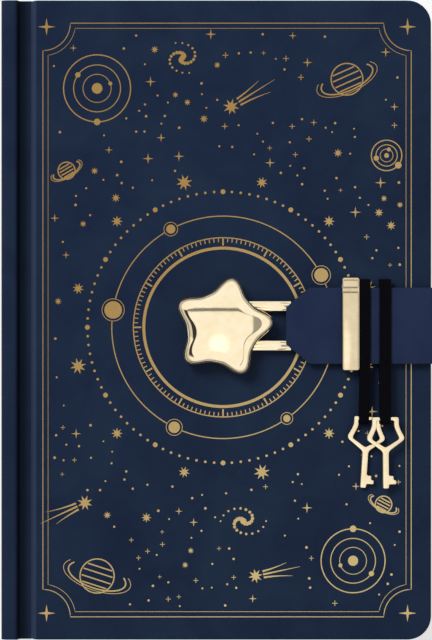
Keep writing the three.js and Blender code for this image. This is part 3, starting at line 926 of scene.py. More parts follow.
@dataclass(frozen=True)
class TrimmedPages(Finish):
    """The cut edges of a stack of leaves: fine lines, each leaf a little lighter or darker."""

    ends = (0.32, 0.55)
    relief = (0.05 * MM, 0.5)
    gloss = {"Roughness": 0.88, "Specular IOR Level": 0.2}

    def draw(self, web: NodeWeb) -> None:
        """Draws the leaves' edges, wider apart than in real paper so that they show.

        Args:
            web: The material's nodes.
        """
        leaf = 0.15 * MM
        web.add("flat", "Mapping", {"Scale": (0.02, 0.02, 1)})
        web.add("tone", "TexNoise", {"Vector": "flat", "Scale": 1 / leaf, "Detail": 2, "Roughness": 0.6})


@dataclass(frozen=True)
class WovenBand(Finish):
    """Woven elastic or binder's cloth: crossing threads with a soft sheen on their tops.

    Args:
        thread: Distance from thread to thread, drawn coarser than real so that it shows.
        sheen: Strength of the fibres' sheen.
    """

    thread: float = 0.5 * MM
    sheen: float = 0.1

    ends = (0.3, 0.75)
    relief = (0.08 * MM, 0.5)
    gloss = {"Roughness": 0.85, "Specular IOR Level": 0.05, "Sheen Weight": "sheen"}

    def draw(self, web: NodeWeb) -> None:
        """Draws the crossing threads with their fuzz.

        Args:
            web: The material's nodes.
        """
        for axis in "XY":
            web.add("along", "SeparateXYZ", {}, axis)
            web.add("turns", "Math", {0: "along", 1: math.tau / self.thread}, operation="MULTIPLY")
            web.add(axis, "Math", {0: "turns"}, operation="SINE")
        web.add("crossing", "Math", {0: "X", 1: "Y"}, operation="MULTIPLY")
        web.add("fuzz", "TexNoise", {"Scale": 1 / self.thread, "Detail": 4, "Roughness": 0.8})
        web.add("tone", "Math", {0: "crossing", 1: 0.3, 2: "fuzz"}, operation="MULTIPLY_ADD")


@dataclass(frozen=True)
class StripedSilk(Finish):
    """A headband's wound silk: two colours by turns along the spine."""

    ends = (0.42, 0.58)
    relief = (0.1 * MM, 0.6)
    gloss = {"Roughness": 0.5, "Sheen Weight": 0.3}

    def draw(self, web: NodeWeb) -> None:
        """Draws the two threads by turns, which repeat every 1.4 mm.

        Args:
            web: The material's nodes.
        """
        pitch = 1.4 * MM
        web.add("up", "SeparateXYZ", {}, "Z")
        web.add("turns", "Math", {0: "up", 1: math.tau / pitch}, operation="MULTIPLY")
        web.add("tone", "Math", {0: "turns"}, operation="SINE")


class Finishes:
    """Every finish of the diary, each made once."""

    cover: Material
    strap: Material
    lining: Material
    foil: Material
    gold: Material
    keeper_gold: Material
    key_gold: Material
    steel: Material
    brass: Material
    endpaper: Material
    pages: Material
    board: Material
    mull: Material
    silk: Material
    elastic: Material

    def __init__(self) -> None:
        """Makes the materials."""
        bank, board = COVER.low.x + Case.shoulder, Span.of("front_cover_wrap").low.x
        # Painted shade darkens the dye on the hinge groove's floor, and a painted highlight lightens the
        # slope of the board's edge beside it.
        groove = [bank - 0.9 * MM, bank + 0.9 * MM, board - 2.6 * MM, board + 0.3 * MM]
        ridge = [board - 0.2 * MM, board + 0.3 * MM, board + 1.6 * MM, board + 2.3 * MM]
        painted_light_stripes = (PaintedLightStripe(*groove, "#05080f", 0.8), PaintedLightStripe(*ridge, "#3c465e", 0.45))
        smooth_grain, matt_grain = (18 * MM, 0.35 * MM, 0.52), (9 * MM, 0.25 * MM, 0.75)
        for key, finish in {
            "cover": SoftTouchLeather("Soft-touch navy faux leather", "#152036", "#1d2a3e", painted_light_stripes=painted_light_stripes),
            "strap": SoftTouchLeather("Smooth navy strap leather", "#1d2640", "#232d47", *smooth_grain),
            "lining": SoftTouchLeather("Matt navy strap lining", "#151b2e", "#1b2236", *matt_grain),
            "foil": StampedFoil("Hot-stamped gold foil", "#a8854c", "#c9b27c"),
            "gold": PolishedPlate("Polished pale gold plating", "#fbeccb", "#f3dfb4"),
            "keeper_gold": PolishedPlate("Satin pale gold plating", "#e0cfae", "#d3bf99", 0.06),
            "key_gold": PolishedPlate("Cast pale gold plating", "#f8e6c4", "#eed6aa", 0.08),
            "steel": MachinedMetal("Stamped zinc-plated steel", "#8e9092", "#b4b6b8"),
            "brass": MachinedMetal("Turned brass", "#ab8748", "#d3b06a", 0.28),
            "endpaper": Paper("Cream endpaper", "#ddd3bd", "#efe8d8"),
            "pages": TrimmedPages("Trimmed cream pages", "#b9ad93", "#efe7d5"),
            "board": Paper("Grey binder's board", "#6f6a62", "#8f8a80"),
            "mull": WovenBand("Open spine mull", "#b5ad9a", "#ddd7c8", 1.1 * MM),
            "silk": StripedSilk("Wound headband silk", "#c9a95f", "#1d2a44"),
            "elastic": WovenBand("Woven black elastic", "#030305", "#0c0c11", 0.4 * MM, 0.0),
        }.items():
            setattr(self, key, finish.make())


class SubAssembly(ABC):
    """A part of the diary that can build and dress itself."""

    @abstractmethod
    def build(self, finishes: Finishes) -> None:
        """Makes the pieces.

        Args:
            finishes: The diary's finishes.
        """


def sheet_outline(left: float, right: float, half: float, radius: float, steps: int = 14) -> list[Point]:
    """A sheet that is square at the spine and round at its two fore-edge corners.

    Args:
        left: X of the side at the spine.
        right: X of the fore edge.
        half: Half its height.
        radius: Radius of the two round corners.
        steps: Stretches in each round corner.

    Returns:
        The outline, counterclockwise.
    """
    tail = arc((right - radius, -half + radius), radius, -90, 0, steps)
    head = arc((right - radius, half - radius), radius, 0, 90, steps)
    return [(left, -half), *tail, *head, (left, half)]


@dataclass
class Case(SubAssembly):
    """The hardcover case: two covers and the spine in one wrap, with a groove at each hinge.

    Args:
        corner: Radius of the covers' fore-edge corners.
        edge_round: How far the wrap rounds the boards' edges.
        hinge_round: How far it rounds the edge beside the groove, where it is pressed down.
        wrap: Thickness of the wrap.
        groove_depth: Groove's floor below the cover's face.
        shoulder: Spine face to the groove.
        bank: Sideways run of the groove's bank.
        spine_round: Radius of the spine's two long edges.
        hinge_slack: Hinge cloth to the board that swings beside it.
        slit_margin: Room round the strap in its slit.
        slit_depth: How far the slit reaches into the cover's edge.
        row_pitch: Distance between rows of points along the spine's cloth.
        joint_paper: Thickness of the endpapers' fold in the hinge.
    """

    corner: float = 7.8 * MM
    edge_round: float = 0.9 * MM
    hinge_round: float = 2.3 * MM
    wrap: float = 0.5 * MM
    groove_depth: float = 2.6 * MM
    shoulder: float = 4.85 * MM
    bank: float = 1.0 * MM
    spine_round: float = 1.8 * MM
    hinge_slack: float = 0.3 * MM
    slit_margin: float = 0.1 * MM
    slit_depth: float = 3 * MM
    row_pitch: float = 0.35 * MM
    joint_paper: float = 0.06 * MM

    @property
    def groove_start(self) -> float:
        """X at which the front shoulder ends and the groove's bank begins."""
        return COVER.low.x + self.shoulder

    def sloped_slab(self, name: str, node: str, side: Side, corner: float) -> Object:
        """A cover's wrap or board, whose outer face slopes down beside the hinge.

        Args:
            name: The piece's name.
            node: The node in whose place it is.
            side: Front or back cover.
            corner: Radius of its fore-edge corners.

        Returns:
            The closed slab.
        """
        span = Span.of(node)
        outline = sheet_outline(span.low.x, span.high.x, span.high.y, corner)
        slab = plate(name, outline, span.low.z, span.size.z)
        face = span.high.z if side is Side.FRONT else span.low.z
        hinge = Vector((span.low.x, face))
        steps, straightness = 8, 0.36
        round_chosen(
            slab,
            min(self.hinge_round, 0.9 * span.size.z),
            steps,
            lambda edge: all((v.co.xz - hinge).length < NEAR for v in edge.verts),
            straightness,
        )
        return slab

    def cut_strap_slit(self, skin: Object) -> None:
        """Cuts the slit in the back cover's edge that the strap goes into.

        Args:
            skin: The back cover's skin.
        """
        edge = Span.of("back_cover_wrap").high.x
        tongue = Span.of("strap_tongue")
        room = Vector((0, self.slit_margin, self.slit_margin))
        low = Vector((edge - self.slit_depth, tongue.low.y, tongue.low.z)) - room
        high = Vector((edge + self.slit_depth, tongue.high.y, tongue.high.z)) + room
        carve(skin, block("slit", low, high))

    def cloth(self, name: str, points: Sequence[Point], bend: float, steps: int, pitch: float) -> Object:
        """The wrap's cloth along a line in X and Z, from the tail to the head.

        Args:
            name: The piece's name.
            points: The line's corners.
            bend: Rounding at the corners.
            steps: Stretches in each rounding.
            pitch: Distance between rows of points.

        Returns:
            The closed band.
        """
        return Band(smoothed(points, bend, steps), Plane.XZ, self.wrap, pitch, 4, COVER.high.y).build(name)

    def spine_skin(self) -> Object:
        """The wrap over the spine, from the front shoulder round to the back groove's end.

        Returns:
            The closed band with its two turned-in ends.
        """
        half = self.wrap / 2
        x = COVER.low.x + half
        span = Span.of("spine_wrap")
        top, bottom = span.high.z - half, span.low.z + half
        floor = self.groove_depth + half
        r = self.spine_round
        points = [
            (self.groove_start, top),
            (x + r, top),
            *arc((x + r, top - r), r, 90, 180, 8)[1:],
            *arc((x + r, bottom + r), r, 180, 270, 8),
            (self.groove_start - self.bank / 2, bottom),
            (self.groove_start + self.bank, floor),
            (span.high.x, floor),
        ]
        skin = self.cloth("spine_skin", points, 0.9 * MM, 4, self.row_pitch)
        return smooth(merge([skin, *self.spine_ends(top, bottom)], "spine_skin"), 50)

    def spine_ends(self, top: float, bottom: float) -> list[Object]:
        """The wrap turned in over the spine board's head and tail.

        Args:
            top: Height of the wrap's middle layer in front.
            bottom: Its height at the back.

        Returns:
            The two end plates.
        """
        board = Span.of("spine_board")
        left = COVER.low.x + self.wrap / 2
        r = self.spine_round - self.wrap / 2
        inset = 0.1 * MM
        section = [
            (board.high.x, bottom),
            (board.high.x, top),
            *arc((left + r, top - r), r, 90, 180, 6),
            *arc((left + r, bottom + r), r, 180, 270, 6),
        ]
        ends = []
        for sign in (-1, 1):
            start = sign * (COVER.high.y - inset)
            end = plate("spine_end", section, min(start, start - sign * self.wrap), self.wrap)
            end.data.transform(Matrix(((1, 0, 0, 0), (0, 0, 1, 0), (0, 1, 0, 0), (0, 0, 0, 1))))
            close_up(end)
            round_edges(end, 0.15 * MM, 2)
            ends.append(end)
        return ends

    def hinge_cloth(self) -> Object:
        """The wrap in the front groove, where the real cloth bends as the cover opens.

        Returns:
            The closed band from the shoulder's edge to under the cover's edge.
        """
        half = self.wrap / 2
        floor = FACE_HEIGHT - self.groove_depth - half
        shoulder = Span.of("spine_wrap").high.z - half
        start, end = self.groove_start, Span.of("front_cover_wrap").low.x + self.hinge_slack
        bank = [(start + self.bank / 4, shoulder), (start + self.bank, floor)]
        points = [(start, shoulder), *bank, (end, floor)]
        return smooth(self.cloth("front_hinge_cloth", points, 0.8 * MM, 5, self.row_pitch / 2), 60)

    def joint_fold(self, side: Side) -> Object:
        """The endpaper's fold between a cover and the text block.

        Args:
            side: Front or back cover.

        Returns:
            A thin closed sheet.
        """
        paste, leaf = Span.of(f"{side.value}_pastedown"), Span.of(f"{side.value}_flyleaf")
        between = (paste.low.z + leaf.high.z) / 2 if side is Side.FRONT else (paste.high.z + leaf.low.z) / 2
        overlap = 0.8 * MM
        route = Route(((leaf.low.x + overlap, between), (paste.low.x + overlap, between)))
        fold = Band(route, Plane.XZ, self.joint_paper, self.row_pitch, 2, leaf.high.y)
        return fold.build(f"{side.value}_joint_paper")

    def build(self, finishes: Finishes) -> None:
        """Makes the case's pieces.

        Args:
            finishes: The diary's finishes.
        """
        for side, body in ((Side.FRONT, Body.FRONT_COVER), (Side.BACK, Body.BOOK)):
            skin = self.sloped_slab(f"{side.value}_cover_skin", f"{side.value}_cover_wrap", side, self.corner)
            round_edges(skin, self.edge_round, 6)
            if side is Side.BACK:
                self.cut_strap_slit(skin)
            board_node = f"{side.value}_board"
            board = self.sloped_slab(f"{side.value}_cover_board", board_node, side, self.corner - self.wrap)
            nodes = [f"{side.value}_cover_wrap"]
            place_piece(smooth(skin, 50), body, finishes.cover, "cover_wrap", nodes)
            place_piece(smooth(board, 50), body, finishes.board, "board", [board_node])
        place_piece(self.spine_skin(), Body.BOOK, finishes.cover, "cover_wrap", ["spine_wrap"])
        board_x = Span.of("front_cover_wrap").low.x
        bend = Bend(Body.FRONT_COVER, (self.groove_start, 0, FACE_HEIGHT), (board_x, 0, FACE_HEIGHT))
        place_piece(self.hinge_cloth(), Body.BOOK, finishes.cover, "cover_wrap", bend=bend)
        paper = smooth(self.joint_fold(Side.FRONT), 60)
        place_piece(paper, Body.BOOK, finishes.endpaper, "endpaper", bend=bend)
        place_piece(self.joint_fold(Side.BACK), Body.BOOK, finishes.endpaper, "endpaper")
        dress(finishes.board, "spine_board")
        dress(finishes.endpaper, "front_pastedown", "back_pastedown")


@dataclass
class TextBlock(SubAssembly):
    """Eight sewn signatures between flyleaves, with headbands and a mull lining.

    Args:
        signatures: Number of signatures.
        leaves: Leaves shown in each, thicker than real ones so that their edges show.
        corner: Radius of the leaves' corners.
        gap: Air between two leaves.
        jitter: How far a leaf's cut edge strays.
        seed: Start of the random draws.
    """

    signatures: int = 8
    leaves: int = 12
    corner: float = 6.4 * MM
    gap: float = 0.02 * MM
    jitter: float = 0.12 * MM
    seed: int = 17

    def signature(self, number: int, draw: random.Random) -> Object:
        """One signature as a stack of leaves.

        Args:
            number: Its number, from 1.
            draw: Source of the leaves' stray.

        Returns:
            The joined leaves.
        """
        span = Span.of(f"signature_{number}")
        pitch = span.size.z / self.leaves
        made = []
        for i in range(self.leaves):
            stray = self.jitter * draw.random()
            half = span.high.y - self.jitter / 2 * draw.random()
            outline = sheet_outline(span.low.x, span.high.x - stray, half, self.corner, 8)
            made.append(plate("leaf", outline, span.low.z + i * pitch, pitch - self.gap))
        return merge(made, f"signature_{number}_leaves")

    def build(self, finishes: Finishes) -> None:
        """Makes the signatures and dresses what holds them.

        Args:
            finishes: The diary's finishes.
        """
        draw = random.Random(self.seed)
        for number in range(1, self.signatures + 1):
            leaves = self.signature(number, draw)
            place_piece(leaves, Body.BOOK, finishes.pages, "page_paper", [f"signature_{number}"])
        dress(finishes.endpaper, "front_flyleaf", "back_flyleaf")
        dress(finishes.silk, "headband_top", "headband_bottom")
        dress(finishes.mull, "spine_lining")


class Run(enum.Enum):
    """The two runs of the strap, which meet halfway up the fore edge."""

    LOWER = "lower"
    UPPER = "upper"


@dataclass(kw_only=True)
class StrapLayer(Band):
    """A layer of the strap, which narrows towards the nose.

    Args:
        strap: The strap.
        tapered: Whether it reaches to the nose.
        inset: How far its sides lie inside the strap's.
        offset: Height of its middle above the strap's.
    """

    strap: "Strap"
    tapered: bool
    inset: float
    offset: float

    def sides(self, middle: Vector) -> Point:
        """The two side places where the route is at a point."""
        half = (self.strap.half_at(middle.x) if self.tapered else self.strap.half_width) - self.inset
        return self.strap.middle_y - half, self.strap.middle_y + half

    def lift(self, distance: float, share: float) -> float:
        """Height above the route, for a distance along it and a share across."""
        return self.offset


@dataclass
class Strap(SubAssembly):
    """The closing strap: leather over a lining, folded up the fore edge and over the front.

    Args:
        leather: Share of the strap's thickness that is the outer leather with its core.
        nose_width: Width at the nose.
        nose_length: The strap narrows over this length.
        fold_round: How far before a fold the bend starts.
        edge_round: Rounding along the two long edges.
        slit_start: How far inside the cover's edge the strap's visible run starts.
        pitch: Distance between rows of points.
        pinch: Share of its thickness that the strap keeps inside the slit.
        soft_reach: Stretch beside each fold that the strap's bends are given over.
    """

    leather: float = 0.66
    nose_width: float = 12.2 * MM
    nose_length: float = 7.7 * MM
    fold_round: float = 1.3 * MM
    edge_round: float = 0.22 * MM
    slit_start: float = 1.6 * MM
    pitch: float = 0.8 * MM
    pinch: float = 0.5
    soft_reach: float = 2.4 * MM

    def __post_init__(self) -> None:
        """Reads the strap's places from the frame."""
        self.front = Span.of("strap_front_lining", "strap_front_outer")
        self.side = Span.of("strap_side_outer", "strap_side_lining")
        self.cover_edge = Span.of("back_cover_wrap").high.x
        self.thickness = self.front.size.z
        self.half_width = self.front.size.y / 2
        self.middle_y = self.front.centre.y
        self.fold_x = self.side.centre.x
        self.low_z = Span.of("strap_tongue").centre.z
        self.high_z = self.front.centre.z
        self.joint_z = (self.low_z + self.high_z) / 2

    def route(self, run: Run) -> Route:
        """The middle line of the lower or the upper run.

        Args:
            run: Which of the two.

        Returns:
            The line in X and Z.
        """
        if run is Run.LOWER:
            slit = self.cover_edge - self.slit_start
            corners = [(slit, self.low_z), (self.fold_x, self.low_z), (self.fold_x, self.joint_z)]
        else:
            nose = (self.front.low.x, self.high_z)
            corners = [(self.fold_x, self.joint_z), (self.fold_x, self.high_z), nose]
        return smoothed(corners, self.fold_round, 8)

    def half_at(self, x: float) -> float:
        """Half the strap's width at a place along the front run.

        Args:
            x: The place.

        Returns:
            Half the width there.
        """
        narrow = self.nose_width / 2
        return narrow + (self.half_width - narrow) * min((x - self.front.low.x) / self.nose_length, 1)

    def at_joint(self, place: Vector) -> bool:
        """Whether a place is where the two runs meet."""
        return abs(place.z - self.joint_z) < NEAR and place.x > self.side.low.x - NEAR

    def layer(self, name: str, run: Run, outer: bool) -> Object:
        """One layer of one run of the strap.

        Args:
            name: The layer's name.
            run: Lower or upper.
            outer: Whether it is the leather, and not the lining.

        Returns:
            The closed band.
        """
        thick = self.thickness * (self.leather if outer else 1 - self.leather)
        offset = (self.thickness - thick) / 2
        route = self.route(run)
        upper = run is Run.UPPER
        gap, across = 0.02 * MM, 8
        layer = StrapLayer(
            route,
            Plane.XZ,
            thick - gap,
            self.pitch,
            across,
            also=[route.lengths[-1] - self.nose_length] if upper else [],
            strap=self,
            tapered=upper,
            inset=0 if outer else self.edge_round / 2,
            offset=-offset if outer else offset,
        )
        piece = layer.build(name)
        round_chosen(
            piece,
            self.edge_round,
            3,
            lambda edge: edge.calc_face_angle(0) > math.radians(60)
            and not all(self.at_joint(vertex.co) for vertex in edge.verts),
        )
        if run is Run.LOWER:
            self.squeeze(piece)
        return smooth(piece, 50)

    def squeeze(self, piece: Object) -> None:
        """Presses the strap flat where it goes into the slit.

        Args:
            piece: A layer of the lower run.
        """
        for vertex in piece.data.vertices:
            reach = (self.side.low.x - vertex.co.x) / (self.side.low.x - self.cover_edge)
            keep = 1 - (1 - self.pinch) * min(max(reach, 0), 1)
            if vertex.co.z < self.low_z + self.thickness:
                vertex.co.z = self.low_z + (vertex.co.z - self.low_z) * keep

    def build(self, finishes: Finishes) -> None:
        """Makes the strap's four layers.

        Args:
            finishes: The diary's finishes.
        """
        x, y, soft = self.fold_x, self.middle_y, self.soft_reach
        low = Bend(Body.STRAP_SIDE, (x - soft / 2, y, self.low_z), (x, y, self.low_z + soft))
        high = Bend(Body.STRAP_FRONT, (x, y, self.high_z - soft), (x - soft, y, self.high_z))
        skin, lining = (finishes.strap, "strap_skin"), (finishes.lining, "strap_lining")
        for kind, outer, look, side, front in (
            ("leather", True, skin, "strap_side_outer", ["strap_front_outer", "strap_front_core"]),
            ("lining", False, lining, "strap_side_lining", ["strap_front_lining"]),
        ):
            lower = self.layer(f"strap_lower_{kind}", Run.LOWER, outer)
            upper = self.layer(f"strap_upper_{kind}", Run.UPPER, outer)
            place_piece(lower, Body.BOOK, *look, [side], low)
            place_piece(upper, Body.STRAP_SIDE, *look, front, high)
        dress(finishes.strap, "strap_tongue")


@dataclass
class HaspLoop(SubAssembly):
    """The metal loop in the strap's nose: two profiled legs and the crossbar that the bolt holds.

    Args:
        leg_width: Width of a leg.
        leg_spacing: Distance between the legs' middles.
        crossbar: Width of the crossbar.
        ridge: Depth of the two lengthwise grooves in each leg.
        edge_drop: Fall of a leg's face at its two sides.
        back_bevel: Bevel along a leg's back.
        root: How far the legs reach into the strap's nose.
        sink: The legs' faces lie this far below the strap's.
        bolt_slot: Size of the bolt's slot in the upper leg, along X and Y.
        slot_from_bar: Crossbar to the slot.
        overlap: How far the crossbar reaches into the legs.
    """

    leg_width: float = 3.4 * MM
    leg_spacing: float = 12.9 * MM
    crossbar: float = 3 * MM
    ridge: float = 0.16 * MM
    edge_drop: float = 0.35 * MM
    back_bevel: float = 0.25 * MM
    root: float = 1.6 * MM
    sink: float = 0.12 * MM
    bolt_slot: Point = (3.4 * MM, 1.4 * MM)
    slot_from_bar: float = 0.6 * MM
    overlap: float = 0.3 * MM

    def leg(self, middle: float, low: float, high: float, start: float, end: float) -> Object:
        """A leg: a flat bar with two shallow grooves in its face.

        Args:
            middle: Y of the leg's middle.
            low: Height of its back.
            high: Height of its face.
            start: X of its first end.
            end: X of its second end.

        Returns:
            The closed bar.
        """
        half, bevel = self.leg_width / 2, self.back_bevel
        shares = [1.0, 0.86, 0.5, 0.36, 0.22]
        drops = [self.edge_drop, 0.05 * MM, 0.0, self.ridge, 0.0]
        face = [(middle + half * share, high - drop) for share, drop in zip(shares, drops)]
        other = [(2 * middle - y, z) for y, z in reversed(face)]
        back = [(-half, low + bevel), (-half + bevel, low), (half - bevel, low), (half, low + bevel)]
        section = [*[(middle + y, z) for y, z in back], *face, *other]
        leg = plate("leg", section, start, end - start)
        leg.data.transform(Matrix(((0, 0, 1, 0), (1, 0, 0, 0), (0, 1, 0, 0), (0, 0, 0, 1))))
        return leg

    def build(self, finishes: Finishes) -> None:
        """Makes the loop.

        Args:
            finishes: The diary's finishes.
        """
        span, nose = Span.of("hasp_loop"), Span.of("strap_front_outer")
        low, high = span.low.z + self.sink, span.high.z - self.sink
        middle, left = nose.centre.y, span.low.x
        inner = (self.leg_spacing - self.leg_width) / 2
        reach = inner + self.overlap
        bar_end = (left + self.crossbar, middle + reach, high - self.edge_drop)
        loop = block("hasp_loop_metal", (left, middle - reach, low), bar_end)
        for sign in (-1, 1):
            leg_y = middle + sign * self.leg_spacing / 2
            carve(loop, self.leg(leg_y, low, high, left, nose.low.x + self.root), "UNION")
        slot = Vector((left + self.crossbar + self.slot_from_bar, middle + inner, low))
        long, wide = self.bolt_slot
        carve(loop, block("slot", slot - Vector((0, MM, MM)), (slot.x + long, slot.y + wide, high + MM)))
        round_edges(loop, 0.12 * MM, 2, 30)
        smooth(loop, 35)
        place_piece(loop, Body.STRAP_FRONT, finishes.gold, "gold_metal", ["hasp_loop"])


@dataclass
class Keeper(SubAssembly):
    """The metal ring that slides along the strap.

    Args:
        side_wall: Thickness at the two ends.
        front_wall: Thickness of the bar in front.
        back_wall: Thickness of the bar behind.
        crown: How much the front bar's middle stands above its rims.
        step_from_end: Upper end to the middle of the bar's shallow step.
        step: Length of that step.
        step_drop: Its depth.
        corner: Radius of its corners seen from above.
        edge_round: Rounding of its rims.
        steps: Faces across the crown.
        rows: Cuts along the step.
    """

    side_wall: float = 1.7 * MM
    front_wall: float = 1.1 * MM
    back_wall: float = 0.9 * MM
    crown: float = 0.1 * MM
    step_from_end: float = 4.05 * MM
    step: float = 4 * MM
    step_drop: float = 0.23 * MM
    corner: float = 0.7 * MM
    edge_round: float = 0.3 * MM
    steps: int = 8
    rows: int = 20

    def __post_init__(self) -> None:
        """Reads the ring's place from the frame."""
        self.span = Span.of("keeper_ring")

    def drop(self, y: float) -> float:
        """How far the front bar has stepped down at a place.

        Args:
            y: The place along the bar.

        Returns:
            The drop below the straight bar.
        """
        start = self.span.high.y - self.step_from_end - self.step / 2
        share = min(max((y - start) / self.step, 0), 1)
        return self.step_drop * share * share * (3 - 2 * share)

    def build(self, finishes: Finishes) -> None:
        """Makes the ring.

        Args:
            finishes: The diary's finishes.
        """
        span = self.span
        ring = block("keeper_metal", span.low, span.high)
        round_chosen(ring, self.corner, 4, lambda edge: abs(edge.verts[0].co.z - edge.verts[1].co.z) > NEAR)
        cuts = [((span.low.x + span.size.x * i / self.steps, 0, 0), (1, 0, 0)) for i in range(1, self.steps)]
        for i in range(self.rows):
            y = span.high.y - self.step_from_end - self.step * (i / (self.rows - 1) - 0.5)
            cuts.append(((0, y, 0), (0, 1, 0)))
        with editing(ring) as mesh:
            for place, direction in cuts:
                bpy.ops.mesh.select_all(action="SELECT")
                bpy.ops.mesh.bisect(plane_co=place, plane_no=direction)
            for vertex in mesh.verts:
                across = (vertex.co.x - span.centre.x) / (span.size.x / 2)
                if vertex.co.z > span.high.z - NEAR:
                    vertex.co.z -= self.crown * across * across + self.drop(vertex.co.y)
        low = (span.low.x - MM, span.low.y + self.side_wall, span.low.z + self.back_wall)
        high = (span.high.x + MM, span.high.y - self.side_wall, span.high.z - self.front_wall)
        carve(ring, block("room", low, high))
        round_edges(ring, self.edge_round, 4, 40)
        smooth(ring, 35)
        place_piece(ring, Body.KEEPER, finishes.keeper_gold, "gold_metal", ["keeper_ring"])


@dataclass(kw_only=True)
class Elastic(Band):
    """The ribbed elastic of a key loop, drawn in at its lower end.

    Args:
        loop: The key loop.
    """

    loop: "KeyLoop"

    def __post_init__(self) -> None:
        """Finds the elastic's lower end."""
        self.end_y = min(point[0] for point in self.route.points)

    def sides(self, middle: Vector) -> Point:
        """The two side places where the route is at a point.

        Args:
            middle: The point.

        Returns:
            X of the first side and of the second.
        """
        loop = self.loop
        x = loop.grip.centre.x + max(loop.pivot_y - middle.x, 0) * math.tan(math.radians(loop.drape))
        near_end = 1 - min((middle.x - self.end_y) / loop.cloth, 1)
        half = loop.cloth / 2 * (1 - (1 - loop.tip) * near_end * near_end)
        return x - half, x + half

    def lift(self, distance: float, share: float) -> float:
        """Height of the ribs, for a distance along the route and a share across."""
        crown = 1 - (2 * share - 1) ** 4
        return self.loop.rib_height * math.sin(math.tau * distance / self.loop.rib_pitch) * crown


@dataclass
class KeyLoop(SubAssembly):
    """A flat elastic loop round the strap that holds one key by its bow.

    Args:
        number: Which of the two loops.
        lean: Lean of the line from its pivot to its key, in degrees.
        cloth: Width of the elastic.
        drape: Lean of its hanging run, in degrees.
        split: Under the strap's lower side, where the hanging run starts to swing.
        split_gap: Gap between the grip and the hanging run.
        hang: Strap's lower side to the top of the key's bow.
        bow_bar: Height of the bow's top bar.
        slack: Elastic's turn under the bow's bar.
        thickness: Thickness of the elastic.
        clearance: Elastic to the bow's bar.
        rib_pitch: Distance between the crosswise ribs.
        rib_height: Height of a rib.
        pitch: Distance between rows of points.
        tip: Share of its width that the loop keeps at its lower end.
        bend: Rounding at the corners of its line.
        soft_reach: Stretch on each side of the pivot that the loop's bend is given over.
    """

    number: int
    lean: float
    cloth: float
    drape: float = 0.0
    split: float = 2.4 * MM
    split_gap: float = 0.3 * MM
    hang: float = 17.3 * MM
    bow_bar: float = 1.5 * MM
    slack: float = 0.4 * MM
    thickness: float = 0.5 * MM
    clearance: float = 0.25 * MM
    rib_pitch: float = 0.72 * MM
    rib_height: float = 0.07 * MM
    pitch: float = 0.12 * MM
    tip: float = 0.84
    bend: float = 0.8 * MM
    soft_reach: float = 2.2 * MM

    def __post_init__(self) -> None:
        """Reads the loop's places from the frame."""
        self.body = Body(f"hanging_key_{self.number}")
        self.grip = Span.of(f"key_loop_{self.number}_grip")
        self.key = Span.of(f"key_{self.number}")
        self.strap = Span.of("strap_front_outer")
        self.pivot_y = self.strap.low.y - self.split - self.split_gap - self.grip.size.x / 2
        self.bow_top = self.strap.low.y - self.hang

    def route(self) -> Route:
        """The elastic's middle line, from under the strap round the bow and back.

        Returns:
            The line in Y and Z.
        """
        half = self.thickness / 2
        back, front = self.grip.low.z + half, self.grip.high.z - half
        split_y = self.strap.low.y - self.split
        key_z = self.key.centre.z
        turn = self.key.size.z / 2 + self.clearance + half
        turn_y = self.bow_top - self.bow_bar / 2 - self.slack
        ease_y = turn_y + self.bow_bar
        round_top = (front - back) / 2
        points = [
            (self.strap.centre.y, back),
            (split_y, back),
            (ease_y, key_z - turn),
            *arc((turn_y, key_z), turn, 270, 90, 12),
            (ease_y, key_z + turn),
            (split_y, front),
            *arc((self.grip.high.y - half - round_top, (front + back) / 2), round_top, 90, -90, 12),
            (self.strap.centre.y, back),
        ]
        return smoothed(points, self.bend, 3)

    def build(self, finishes: Finishes) -> None:
        """Makes the loop.

        Args:
            finishes: The diary's finishes.
        """
        name = f"key_loop_{self.number}"
        elastic = Elastic(self.route(), Plane.YZ, self.thickness, self.pitch, 6, loop=self)
        piece = smooth(elastic.build(f"{name}_elastic"), 60)
        x, y, z = self.grip.centre.x, self.pivot_y, self.grip.centre.z
        swing = Bend(self.body, (x, y + self.soft_reach, z), (x, y - self.soft_reach, z))
        nodes = [f"{name}_grip", f"{name}_hanging"]
        place_piece(piece, Body.STRAP_FRONT, finishes.elastic, "elastic", nodes, swing)


def mirrored(corners: Sequence[Corner]) -> list[Corner]:
    """The same corners on the other side of X = 0, in reverse order."""
    return [((-x, y), radius) for (x, y), radius in reversed(corners)]


